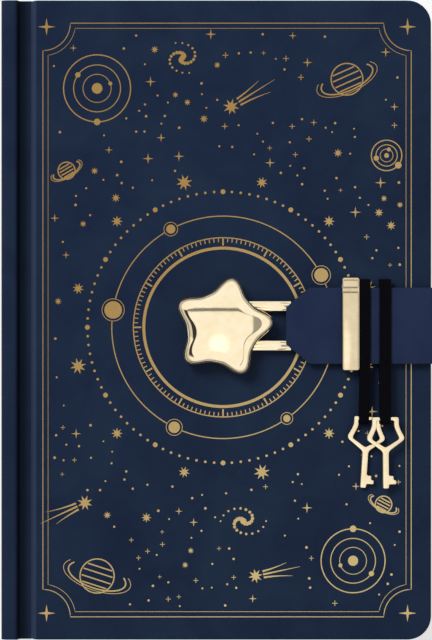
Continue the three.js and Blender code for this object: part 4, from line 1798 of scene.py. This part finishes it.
@dataclass
class Key(SubAssembly):
    """A small cast key with an open bow like the lower half of a star.

    Args:
        loop: The elastic loop that it hangs on.
        lean: Its lean against the loop, in degrees.
        top_width: Width of the bow at its top.
        width: Width between the bow's two side tips.
        wire: Width of the bow's wire at its side tips.
        neck_wire: Width of the bow's wire above them.
        neck: Upright stretch below the bow's top.
        shoulder: Bow's top to its side tips.
        bow: Length of the bow.
        vee: Metal under the lowest point of the bow's hole.
        shank_width: Width of the shank.
        shank: Length of the shank.
        bit_reach: How far the bit stands out of the shank.
        bit: Length of the bit.
        bit_step: Depth of the step in the bit.
        bit_from_end: Shank's end to the bit.
        bar: Height of the bow's top bar.
        voxel: Grain of the casting, from which its edges are softened.
        softening: Rounds of softening.
    """

    loop: KeyLoop
    lean: float
    top_width: float = 8.8 * MM
    width: float = 13 * MM
    wire: float = 2.0 * MM
    neck_wire: float = 1.7 * MM
    neck: float = 3.2 * MM
    shoulder: float = 7.2 * MM
    bow: float = 11.3 * MM
    vee: float = 1.3 * MM
    shank_width: float = 2.1 * MM
    shank: float = 12.1 * MM
    bit_reach: float = 2.4 * MM
    bit: float = 2.9 * MM
    bit_step: float = 0.9 * MM
    bit_from_end: float = 1.35 * MM
    bar: float = 1.1 * MM
    voxel: float = 0.11 * MM
    softening: int = 55

    def outline(self) -> list[Point]:
        """The key's outer outline.

        Returns:
            Its points, with the bow's top at the origin, counterclockwise.
        """
        half, top, side = self.shank_width / 2, self.top_width / 2, self.width / 2
        end = -self.bow - self.shank
        low = end + self.bit_from_end
        step, high = low + self.bit / 2, low + self.bit
        out = half + self.bit_reach
        top_left = [((-top, 0), 0.6), ((-top, -self.neck), 1.4)]
        bow = [*top_left, ((-side, -self.shoulder), 1.1), ((-half, -self.bow), 0.9)]
        bit = [
            ((-half, end), 0.55),
            ((half, end), 0.55),
            ((half, low), 0.15),
            ((out, low), 0.35),
            ((out, step), 0.3),
            ((out - self.bit_step, step), 0.15),
            ((out - self.bit_step, high), 0.3),
            ((half, high), 0.15),
        ]
        return rounded_outline([*bow, *bit, *mirrored(bow)])

    def hole(self) -> list[Point]:
        """The outline of the bow's hole.

        Returns:
            Its points, counterclockwise.
        """
        top, side = self.top_width / 2 - self.neck_wire, self.width / 2 - self.wire
        left = [((-top, -self.bar), 0.4), ((-top, -self.neck), 1.2), ((-side, -self.shoulder), 0.7)]
        return rounded_outline([*left, ((0, self.vee - self.bow), 0.5), *mirrored(left)])

    def build(self, finishes: Finishes) -> None:
        """Makes the key.

        Args:
            finishes: The diary's finishes.
        """
        loop = self.loop
        thickness = loop.key.size.z
        key = plate(f"key_{loop.number}_cast", self.outline(), -thickness / 2, thickness)
        carve(key, plate("bow_hole", self.hole(), -thickness / 2 - MM, thickness + 2 * MM))
        finish_modifier(key, "REMESH", mode="VOXEL", voxel_size=self.voxel, use_smooth_shade=True)
        finish_modifier(key, "SMOOTH", factor=0.5, iterations=self.softening)
        pivot = Matrix.Translation((loop.grip.centre.x, loop.pivot_y, loop.key.centre.z))
        swing, lean = [Matrix.Rotation(math.radians(angle), 4, "Z") for angle in (loop.lean, self.lean)]
        drop = Matrix.Translation((0, loop.bow_top - loop.pivot_y, 0))
        key.data.transform(pivot @ swing @ drop @ lean)
        place_piece(key, loop.body, finishes.key_gold, "gold_metal", [f"key_{loop.number}"])


@dataclass
class StarLock(SubAssembly):
    """The pressed metal lock: a puffed star, with a mouth for the hasp loop and a keyhole.

    Args:
        arms: Number of arms.
        tip: Lock's middle to a tip.
        notch: Lock's middle to a notch.
        flank: Lock's middle to the star's side, halfway between a tip and a notch.
        turn: Direction of the first tip, in degrees.
        roll: Rounding at the foot of the wall.
        rim_round: Radius of the rim between the wall and the band.
        rim_angle: How far the rim turns over, in degrees.
        rim_steps: Faces across the rim.
        band_width: Width of the rounded band inside the rim.
        band_drop: How far that band falls.
        band_turn: Share of a quarter turn that the band's section takes.
        band_steps: Faces across the band.
        swell: Fall of the dome from its middle, as a share of the squared distance, per metre.
        dome_steps: Faces from the band to the middle.
        sheet: Thickness of the metal.
        sides: Faces round the star.
        mouth_room: Room round the loop in the mouth.
        key_bore: Radius of the keyhole's round part.
        key_slot: Width and height of its slot.
    """

    arms: int = 5
    tip: float = 16.5 * MM
    notch: float = 11.9 * MM
    flank: float = 13.5 * MM
    turn: float = 78.6
    roll: float = 0.25 * MM
    rim_round: float = 0.9 * MM
    rim_angle: float = 45
    rim_steps: int = 5
    band_width: float = 3.8 * MM
    band_drop: float = 1.45 * MM
    band_turn: float = 0.8
    band_steps: int = 12
    swell: float = 6.6
    dome_steps: int = 9
    sheet: float = 0.8 * MM
    sides: int = 250
    mouth_room: float = 0.35 * MM
    key_bore: float = 1.1 * MM
    key_slot: Point = (1.2 * MM, 1.4 * MM)

    def __post_init__(self) -> None:
        """Reads the lock's places from the frame."""
        self.span = Span.of("lock_star_shell")
        clinch = Span.of("lock_clinch_plate").centre
        self.middle = Vector((clinch.x, clinch.y, 0))

    def radius(self, angle: float) -> float:
        """Distance from the lock's middle to the star's side.

        Args:
            angle: The direction, in radians.

        Returns:
            The distance.
        """
        between = (self.tip + self.notch) / 4
        mean, sharpness = between + self.flank / 2, between - self.flank / 2
        swing = (self.tip - self.notch) / 2
        turns = self.arms * (angle - math.radians(self.turn))
        return mean + swing * math.cos(turns) + sharpness * math.cos(2 * turns)

    def section(self, angle: float) -> list[Point]:
        """The shell's section in one direction, from its foot to just beside the middle.

        Args:
            angle: The direction, in radians.

        Returns:
            Distances from the middle and heights.
        """
        low, top = self.span.low.z, self.span.high.z
        edge = self.radius(angle)
        turned = math.radians(self.rim_angle)
        rim = self.rim_round * (1 - math.cos(turned))
        wall = top - self.swell * (edge - rim) ** 2 - self.band_drop - self.rim_round * math.sin(turned)
        made = [(edge - self.roll, low), (edge, low + self.roll), (edge, (low + wall) / 2), (edge, wall)]
        for i in range(1, self.rim_steps + 1):
            part = turned * i / self.rim_steps
            inset, rise = self.rim_round * (1 - math.cos(part)), self.rim_round * math.sin(part)
            made.append((edge - inset, wall + rise))
        full = 1 - math.sqrt(1 - self.band_turn**2)
        for i in range(1, self.band_steps + 1):
            left = 1 - i / self.band_steps
            reach = edge - rim - (self.band_width - rim) * (1 - left)
            fall = (1 - math.sqrt(1 - (self.band_turn * left) ** 2)) / full
            made.append((reach, top - self.swell * reach * reach - self.band_drop * fall))
        for i in range(1, self.dome_steps + 1):
            reach = (edge - self.band_width) * (1 - i / (self.dome_steps + 1))
            made.append((reach, top - self.swell * reach * reach))
        return made

    def set_ring(self, vertices: Sequence[bmesh.types.BMVert], ring: int) -> None:
        """Moves one ring of points to its place on the star.

        Args:
            vertices: The ring's points.
            ring: Number of the ring, from the foot.
        """
        for vertex in vertices:
            angle = math.atan2(vertex.co.y - self.middle.y, vertex.co.x - self.middle.x)
            distance, height = self.section(angle)[ring]
            vertex.co = self.middle + Vector((distance * math.cos(angle), distance * math.sin(angle), height))

    def shell(self) -> Object:
        """The hollow star.

        Returns:
            The closed shell, with its mouth and keyhole cut.
        """
        focus()
        bpy.ops.mesh.primitive_circle_add(vertices=self.sides, radius=self.tip, location=self.middle)
        shell = take_new("lock_star_metal")
        with editing(shell, all_parts=True) as mesh:
            self.set_ring(list(mesh.verts), 0)
            for ring in range(1, len(self.section(0))):
                bpy.ops.mesh.extrude_region_move()
                mesh = bmesh.from_edit_mesh(shell.data)
                self.set_ring([v for v in mesh.verts if v.select], ring)
            bpy.ops.mesh.extrude_region_move()
            mesh = bmesh.from_edit_mesh(shell.data)
            for vertex in [v for v in mesh.verts if v.select]:
                vertex.co = self.middle + Vector((0, 0, self.span.high.z))
            bmesh.update_edit_mesh(shell.data)
            bpy.ops.mesh.merge(type="CENTER")
        close_up(shell)
        finish_modifier(shell, "SOLIDIFY", thickness=self.sheet, offset=-1, use_even_offset=True)
        self.cut_mouth(shell)
        self.cut_keyhole(shell)
        return smooth(shell, 42)

    def cut_mouth(self, shell: Object) -> None:
        """Cuts the mouth that the hasp loop slides into.

        Args:
            shell: The star.
        """
        loop = Span.of("hasp_loop")
        room = Vector((0, self.mouth_room, self.mouth_room))
        low = Vector((loop.low.x + self.tip / 4, loop.low.y, loop.low.z)) - room
        high = Vector((self.middle.x + self.tip + MM, loop.high.y, loop.high.z)) + room
        carve(shell, block("mouth", low, high))

    def cut_keyhole(self, shell: Object) -> None:
        """Cuts the keyhole in the wall on the spine side.

        Args:
            shell: The star.
        """
        plug = Span.of("lock_plug")
        y, z = plug.centre.y, plug.centre.z
        outside, inside = self.middle.x - self.tip, plug.low.x + MM
        focus()
        bpy.ops.mesh.primitive_cylinder_add(
            vertices=32,
            radius=self.key_bore,
            depth=inside - outside,
            location=((inside + outside) / 2, y, z),
            rotation=(0, math.pi / 2, 0),
        )
        carve(shell, take_new("bore"))
        width, height = self.key_slot
        carve(shell, block("slot", (outside, y - width / 2, z), (inside, y + width / 2, z + height)))

    def build(self, finishes: Finishes) -> None:
        """Makes the shell and dresses what it hides.

        Args:
            finishes: The diary's finishes.
        """
        dress(finishes.steel, "lock_base_plate", "plug_cradle", "lock_bolt", "lock_clinch_plate")
        dress(finishes.brass, "lock_plug", *[f"lock_rivet_{number}" for number in range(1, 5)])
        place_piece(self.shell(), Body.FRONT_COVER, finishes.gold, "gold_metal", ["lock_star_shell"])


@dataclass
class FoilPrint(SubAssembly):
    """The gold print on the front cover: a dial round the lock, orbits, comets and scattered sparks.

    The print is drawn flat in millimetres from the cover's middle, and made to size at the end.

    Args:
        proud: How far the foil stands above the leather.
        film: Thickness of the foil.
        border_left: Border to the hinge groove.
        border_right: Border to the fore edge.
        border_end: Border to the head and to the tail.
        line: Width of the border's line.
        scallop: Radius of the border's drawn-in corners.
        dial: Radius of the dial's main ring.
        margin: Room between the border and the scattered sparks.
        levels: Heights that the motifs take by turns, so that no two faces lie in one plane.
        level: Distance between two of these heights.
        seed: Start of the random draws.
    """

    proud: float = 0.03 * MM
    film: float = 0.05 * MM
    border_left: float = 4.2
    border_right: float = 6.6
    border_end: float = 7.6
    line: float = 0.26
    scallop: float = 9.0
    dial: float = 26.0
    margin: float = 3.5
    levels: int = 8
    level: float = 0.0005
    seed: int = 5

    def __post_init__(self) -> None:
        """Works out the print's places from the frame."""
        clinch = Span.of("lock_clinch_plate").centre / MM
        self.lock = (clinch.x, clinch.y)
        self.left = Span.of("front_cover_wrap").low.x / MM + self.border_left
        self.right = COVER.high.x / MM - self.border_right
        self.top = COVER.high.y / MM - self.border_end
        self.made: list[Object] = []
        self.taken: list[tuple[Point, float]] = []

    def stroke(self, points: Sequence[Point], start_width: float, end_width: float | None = None) -> Object:
        """A flat line along some points.

        Args:
            points: The line's points.
            start_width: Its width at the start.
            end_width: Its width at the end, if another.

        Returns:
            The flat line.
        """
        last = start_width if end_width is None else end_width
        lengths = Route(tuple(points)).lengths
        rows = len(points) - 1
        focus()
        bpy.ops.mesh.primitive_grid_add(x_subdivisions=rows, y_subdivisions=1, size=2)
        piece = take_new("stroke")
        closed = math.dist(points[0], points[-1]) < 1e-6
        for vertex in piece.data.vertices:
            index = round((vertex.co.x + 1) / 2 * rows)
            before = points[index - 1] if index else points[-2] if closed else points[0]
            after = points[index + 1] if index < rows else points[1] if closed else points[-1]
            along = (Vector(after) - Vector(before)).normalized()
            half = (start_width + (last - start_width) * lengths[index] / lengths[-1]) / 2
            side = half if vertex.co.y > 0 else -half
            vertex.co = (points[index][0] - along.y * side, points[index][1] + along.x * side, 0)
        return piece

    def circle(self, radius: float, width: float, start: float = 0, end: float = 360) -> Object:
        """A flat ring about the origin, or part of one.

        Args:
            radius: Radius of its middle line.
            width: Its width.
            start: First angle in degrees.
            end: Last angle in degrees.

        Returns:
            The flat ring.
        """
        steps = max(8, math.ceil((end - start) / 360 * (40 + radius * 3)))
        return self.stroke(arc((0, 0), radius, start, end, steps), width)

    def burst(self, name: str, points: int, waist: float) -> Object:
        """A star-burst figure of radius 1.

        Args:
            name: Its name.
            points: Number of its points.
            waist: Radius between them.

        Returns:
            The figure.
        """
        turns = range(2 * points)
        return figure(name, [polar((0, 0), waist if i % 2 else 1, 180 * i / points + 90) for i in turns])

    def add(self, piece: Object, place: Point = (0, 0), scale: float = 1, turn: float = 0) -> None:
        """Puts a new flat piece in its place.

        Args:
            piece: The piece, drawn about the origin.
            place: Where it goes.
            scale: Its size.
            turn: Its turn in degrees.
        """
        move = Matrix.Translation((*place, 0)) @ Matrix.Rotation(math.radians(turn), 4, "Z")
        piece.data.transform(move @ Matrix.Diagonal((scale, scale, 1, 1)))
        self.made.append(piece)

    def stamp(self, template: Object, place: Point, scale: float = 1, turn: float = 0) -> None:
        """Puts a copy of a template in a place.

        Args:
            template: The figure to copy.
            place: Where the copy goes.
            scale: Its size.
            turn: Its turn in degrees.
        """
        copy = template.copy()
        copy.data = template.data.copy()
        bpy.context.collection.objects.link(copy)
        self.add(copy, place, scale, turn)

    def border(self) -> None:
        """A double line with drawn-in round corners that each hold a spark."""
        left, right, top = self.left, self.right, self.top
        corners = [(left, -top), (right, -top), (right, top), (left, top)]
        for inset, width in ((0.0, self.line), (1.7, self.line * 0.6)):
            radius = self.scallop + inset
            ease = math.degrees(math.asin(inset / radius))
            outline: list[Point] = []
            for i, corner in enumerate(corners):
                outline += arc(corner, radius, 90 * (i + 1) - ease, 90 * i + ease, 14)
            self.add(self.stroke([*outline, outline[0]], width))
        shift = 1.2
        for x in (left, right):
            for y in (-top, top):
                self.stamp(self.four, (x + math.copysign(shift, -x), y + math.copysign(shift, -y)), 2.9)
                self.taken.append(((x, y), self.scallop + 1))

    def dial_round_lock(self) -> None:
        """Two rings with ticks between them, an orbit with planets, and a dotted orbit."""
        tick_ring = self.dial + 3.4
        self.add(self.circle(self.dial, 0.95), self.lock)
        self.add(self.circle(tick_ring, 0.35), self.lock)
        long = self.stroke([(-2.3, 0), (0, 0)], 0.512)
        short = self.stroke([(-1.2, 0), (0, 0)], 0.32)
        for i in range(120):
            self.stamp(short if i % 10 else long, polar(self.lock, tick_ring - 0.25, 3 * i), 1, 3 * i)
        for tick in (long, short):
            bpy.data.objects.remove(tick)
        self.orbit(36.5, 0.34, [(28, 2.3), (118, 1.5), (171, 2.9), (244, 1.9), (305, 1.2)])
        for i in range(96):
            self.stamp(self.dot, polar(self.lock, 44.5, 3.75 * i), 0.42 if i % 8 else 0.8)
        for i in range(12):
            angle = 30 * i + 15
            self.stamp(self.eight, polar(self.lock, 49.2, angle), 1.9 if i % 3 else 2.7, angle)
        self.taken.append((self.lock, 52.5))

    def orbit(self, radius: float, width: float, planets: Sequence[Point]) -> None:
        """A ring round the lock, broken at each of its planets.

        Args:
            radius: The ring's radius.
            width: Its line's width.
            planets: Angle and size of each planet.
        """
        ends = []
        for angle, size in planets:
            half_gap = math.degrees((size + 0.9) / radius)
            ends.append((angle - half_gap, angle + half_gap))
            self.stamp(self.dot, polar(self.lock, radius, angle), size)
            self.add(self.circle(size + 0.75, 0.22), polar(self.lock, radius, angle))
        for (_, start), (stop, _) in zip(ends, [*ends[1:], ends[0]]):
            self.add(self.circle(radius, width, start, stop if stop > start else stop + 360), self.lock)

    def ringed_planet(self, place: Point, size: float, turn: float) -> None:
        """A striped ball with a tilted ring.

        Args:
            place: Its middle.
            size: The ball's radius.
            turn: The ring's tilt in degrees.
        """
        self.add(self.circle(size, 0.4), place)
        for share in (-0.55, -0.2, 0.2, 0.55):
            half = size * math.sqrt(1 - share * share) - 0.5
            self.add(self.stroke([(-half, share * size), (half, share * size)], 0.42), place, 1, turn)
        for reach, width in ((1.75, 0.45), (2.05, 0.22)):
            loop = [(x, 0.42 * y) for x, y in arc((0, 0), size * reach, 150, 390, 40)]
            self.add(self.stroke(loop, width), place, 1, turn)
        self.taken.append((place, size * 2.2))

    def comet(self, place: Point, length: float, turn: float) -> None:
        """A bright head with three tapering, bent tails.

        Args:
            place: The head's middle.
            length: Length of the longest tail.
            turn: Direction of the tails in degrees.
        """
        self.stamp(self.eight, place, length * 0.16, turn)
        for bend, share in ((-0.16, 0.8), (0.0, 1.0), (0.16, 0.72)):
            alongs = [0.17 + (share - 0.17) * i / 12 for i in range(13)]
            tail = [(length * along, length * bend * (0.4 + along * along)) for along in alongs]
            self.add(self.stroke(tail, 0.62, 0.08), place, 1, turn)
        self.taken.append((polar(place, length / 2, turn), length * 0.6))

    def small_system(self, place: Point, size: float, turn: float) -> None:
        """Three circles with a small planet on each.

        Args:
            place: Their middle.
            size: Radius of the outer circle.
            turn: Turn of the planets in degrees.
        """
        self.stamp(self.dot, place, size * 0.16)
        for i, share in enumerate((0.42, 0.7, 1.0)):
            self.add(self.circle(size * share, 0.24 + 0.06 * i), place)
            self.stamp(self.dot, polar(place, size * share, turn + 125 * i), 0.65 + 0.22 * i)
        self.taken.append((place, size + 1.4))

    def spiral(self, place: Point, size: float, turn: float) -> None:
        """Two arms of dots that wind out from a bright middle.

        Args:
            place: Its middle.
            size: Its reach.
            turn: Its turn in degrees.
        """
        self.stamp(self.dot, place, size * 0.13)
        for arm in (0, 180):
            for share in [i / 15 for i in range(2, 15)]:
                x, y = polar((0, 0), size * share, turn + arm + 300 * share)
                self.stamp(self.dot, (place[0] + x, place[1] + 0.8 * y), 0.75 - 0.5 * share)
        self.taken.append((place, size))

    def scatter(self) -> None:
        """Small sparks, plus signs and dots wherever there is room."""
        draw = random.Random(self.seed)
        kinds = [(self.four, 1.5, 26), (self.eight, 1.3, 18), (self.plus, 0.75, 34), (self.dot, 0.34, 150)]
        for template, size, count in kinds:
            placed = 0
            while placed < count:
                x = draw.uniform(self.left + self.margin, self.right - self.margin)
                y = draw.uniform(self.margin - self.top, self.top - self.margin)
                reach = size * draw.uniform(0.8, 1.3)
                if all(math.dist((x, y), middle) > room + reach + 0.7 for middle, room in self.taken):
                    self.stamp(template, (x, y), reach)
                    self.taken.append(((x, y), reach + 1.2))
                    placed += 1

    def build(self, finishes: Finishes) -> None:
        """Makes the print as one film of foil.

        Args:
            finishes: The diary's finishes.
        """
        self.four, self.eight = self.burst("four", 4, 0.2), self.burst("eight", 8, 0.42)
        self.dot = figure("dot", arc((0, 0), 1, 0, 360 * 17 / 18, 17))
        arm, end = 0.13, 1.0
        quarter = [Vector(spot) for spot in ((arm, arm), (arm, end), (-arm, end))]
        turns = [Matrix.Rotation(i * math.pi / 2, 2) for i in range(4)]
        self.plus = figure("plus", [tuple(turn @ spot) for turn in turns for spot in quarter])
        self.border()
        self.dial_round_lock()
        for motif, place, size, turn in (
            (self.small_system, (-40, 76), 11, 20),
            (self.ringed_planet, (42, 79), 5.2, 24),
            (self.comet, (4, 70), 17, 32),
            (self.spiral, (-12, 86), 7, 10),
            (self.comet, (-44, -60), 16, 205),
            (self.small_system, (44, -79), 10.5, 200),
            (self.ringed_planet, (-40, -84), 5.6, -18),
            (self.spiral, (8, -66), 8, 80),
            (self.comet, (12, -84), 15, 12),
            (self.ringed_planet, (-50, 49), 2.8, 30),
            (self.small_system, (55, 54), 5, 70),
            (self.ringed_planet, (54, -60.5), 2.7, -28),
        ):
            motif(place, size, turn)
        self.scatter()
        for template in (self.four, self.eight, self.dot, self.plus):
            bpy.data.objects.remove(template)
        for i, piece in enumerate(self.made):
            piece.data.transform(Matrix.Translation((0, 0, i % self.levels * self.level)))
        foil = merge(self.made, "cover_foil_print")
        foil.data.transform(Matrix.Translation((0, 0, FACE_HEIGHT + self.proud)) @ Matrix.Scale(MM, 4))
        for face in foil.data.polygons:
            if face.normal.z < 0:
                face.flip()
        finish_modifier(foil, "SOLIDIFY", thickness=self.film, offset=-1)
        place_piece(foil, Body.FRONT_COVER, finishes.foil, "gold_metal")


RAYS = ("Is Camera Ray", "Is Glossy Ray")

# The tent that metal reflects. A row is a step: its name, its operation, and numbers or earlier steps.
TENT = (
    ("height", "MAXIMUM", "Z", 0.05),
    ("u", "DIVIDE", "X", "height"),
    ("v", "DIVIDE", "Y", "height"),
    ("past_left", "MULTIPLY_ADD", "u", -0.83, -0.332),
    ("past_right", "MULTIPLY_ADD", "u", 7.7, -2.1175),
    ("past_top", "MULTIPLY_ADD", "v", 27.8, -3.9198),
    ("past_side", "MAXIMUM", "past_left", "past_right"),
    ("past", "MAXIMUM", "past_side", "past_top"),
    ("into", "SMOOTHSTEP", "past", 0.0, 0.1),
    ("not_beyond", "SMOOTHSTEP", "past", 1.0, 0.85),
    ("gap_shape", "MULTIPLY", "into", "not_beyond"),
    ("low_down", "SMOOTHSTEP", "v", -1.0, -0.5),
    ("right_share", "SMOOTHSTEP", "u", 0.15, 0.27),
    ("top_share", "SMOOTHSTEP", "v", 0.1, 0.14),
    ("depth_side", "MULTIPLY_ADD", "right_share", -0.3, 0.96),
    ("depth", "MULTIPLY_ADD", "top_share", -0.14, "depth_side"),
    ("gap_depth", "MULTIPLY", "depth", "low_down"),
    ("gap", "MULTIPLY", "gap_shape", "gap_depth"),
    ("spot_u", "ADD", "u", 0.03),
    ("spot_v", "ADD", "v", 0.155),
    ("spot_u_squared", "MULTIPLY", "spot_u", "spot_u"),
    ("reach", "MULTIPLY_ADD", "spot_v", "spot_v", "spot_u_squared"),
    ("spot", "SMOOTHSTEP", "reach", 0.014, 0.0),
    ("rise", "SMOOTHSTEP", "Z", 0.05, 0.35),
    ("bright", "MULTIPLY_ADD", "rise", 0.7, 0.35),
    ("lit", "MULTIPLY_ADD", "spot", 0.42, "bright"),
    ("left_wall", "SMOOTHSTEP", "u", -1.3, -1.7),
    ("below_top", "SMOOTHSTEP", "v", 0.3, 0.1),
    ("beige", "MULTIPLY", "left_wall", "below_top"),
    ("paler", "MULTIPLY_ADD", "beige", -0.3, 1.0),
    ("tinted", "MULTIPLY", "lit", "paler"),
    ("open", "SUBTRACT", 1.0, "gap"),
    ("seen", "MULTIPLY", "tinted", "open"),
    ("glossy", "MAXIMUM", "seen", 0.03),
    ("for_glossy", "MULTIPLY", "Is Glossy Ray", "glossy"),
    ("either", "MAXIMUM", "Is Camera Ray", "Is Glossy Ray"),
    ("others", "SUBTRACT", 1.0, "either"),
    ("base", "MULTIPLY_ADD", "others", "ambient", "for_glossy"),
    ("total", "ADD", "base", "Is Camera Ray"),
)


@dataclass
class Studio:
    """The pale floor, the soft light and the camera straight above the diary.

    Args:
        photo_height: Height of the photograph's frame at the cover's face.
        sensor: Camera's sensor along the frame's long side, in millimetres.
        lens: Its focal length in millimetres.
        floor_size: Edge of the floor.
        floor_glow: Share of the floor that glows for the camera and for reflections.
        ambient: Light from all round.
        key_power: Power of the large lamp at the upper left, in watts.
        fill_power: Power of the weak lamp at the lower right, in watts.
    """

    photo_height: float = 210.0 * MM
    sensor: float = 36.0
    lens: float = 120.0
    floor_size: float = 4.0
    floor_glow: float = 0.6
    ambient: float = 0.4
    key_power: float = 44.0
    fill_power: float = 1.5

    def stand(self, name: str, data: ID, place: Place) -> Object:
        """Puts a camera or a lamp in its place.

        Args:
            name: Its name.
            data: Its data.
            place: Where it stands.

        Returns:
            The new object.
        """
        made = bpy.data.objects.new(name, data)
        bpy.context.scene.collection.objects.link(made)
        made.location = place
        return made

    def camera(self) -> None:
        """Sets the camera at the photograph's angle."""
        data = bpy.data.cameras.new("photo_camera")
        data.lens = self.lens
        data.sensor_width = self.sensor
        height = FACE_HEIGHT + self.photo_height / self.sensor * self.lens
        bpy.context.scene.camera = self.stand("photo_camera", data, (COVER.centre.x, 0, height))

    def lamp(self, name: str, place: Place, size: float, power: float) -> None:
        """Adds a soft square lamp that points at the diary.

        Args:
            name: The lamp's name.
            place: Where it stands.
            size: Edge of the lamp.
            power: Its power in watts.
        """
        data = bpy.data.lights.new(name, "AREA")
        data.size = size
        data.energy = power
        lamp = self.stand(name, data, place)
        lamp.visible_glossy = False
        lamp.rotation_euler = (-Vector(place)).to_track_quat("-Z", "Y").to_euler()

    def floor(self) -> None:
        """Lays the pale floor."""
        focus()
        bpy.ops.mesh.primitive_plane_add(size=self.floor_size)
        floor = take_new("floor")
        material = bpy.data.materials.new("Pale studio floor")
        web = NodeWeb(material, {})
        shader = web.tree.nodes["Principled BSDF"]
        web.feed(shader, {"Base Color": linear("#f2f1ef"), "Roughness": 0.9, "Specular IOR Level": 0.1})
        web.made["matt"] = shader.outputs[0]
        web.add("glow", "Emission", {"Color": linear("#ffffff"), "Strength": 1.0})
        for ray in RAYS:
            web.add(ray, "LightPath", {}, ray)
        web.add("seen", "Math", dict(enumerate(RAYS)), operation="MAXIMUM")
        web.add("share", "Math", {0: "seen", 1: self.floor_glow}, operation="MULTIPLY")
        web.add("mixed", "MixShader", {0: "share", 1: "matt", 2: "glow"})
        web.feed(web.tree.nodes["Material Output"], {"Surface": "mixed"})
        floor.data.materials.append(material)

    def tent(self) -> None:
        """Lights the diary from all round, and gives metal a softbox with a dark gap round it to reflect."""
        world = bpy.data.worlds.new("tent")
        bpy.context.scene.world = world
        web = NodeWeb(world, {"ambient": self.ambient})
        web.add("place", "TexCoord", {}, "Generated")
        for axis in "XYZ":
            web.add(axis, "SeparateXYZ", {}, axis)
        for ray in RAYS:
            web.add(ray, "LightPath", {}, ray)
        for name, operation, *values in TENT:
            if operation == "SMOOTHSTEP":
                web.add(name, "MapRange", dict(enumerate(values)), interpolation_type=operation)
            else:
                web.add(name, "Math", dict(enumerate(values)), operation=operation)
        web.feed(web.tree.nodes["Background"], {"Color": linear("#ffffff"), "Strength": "total"})

    def build(self) -> None:
        """Sets the whole studio."""
        bpy.context.scene.view_settings.view_transform = "Standard"
        self.camera()
        self.lamp("key_lamp", (-1.0, 1.2, 1.8), 0.9, self.key_power)
        self.lamp("fill_lamp", (0.6, -0.4, 0.9), 0.8, self.fill_power)
        self.floor()
        self.tent()


def main() -> None:
    """Builds the diary and its studio."""
    logging.basicConfig(level=logging.INFO, format="%(message)s")
    finishes = Finishes()
    Studio().build()
    loops = [KeyLoop(1, lean=4.0, cloth=3.4 * MM, drape=-1.2), KeyLoop(2, lean=0.0, cloth=3.8 * MM)]
    assemblies: list[SubAssembly] = [
        Case(),
        TextBlock(),
        Strap(),
        HaspLoop(),
        Keeper(),
        *loops,
        Key(loops[0], lean=-7.75),
        Key(loops[1], lean=0.5),
        StarLock(),
        FoilPrint(),
    ]
    for assembly in assemblies:
        assembly.build(finishes)
        log.info("%s is built", type(assembly).__name__)


if __name__ == "__main__":
    main()
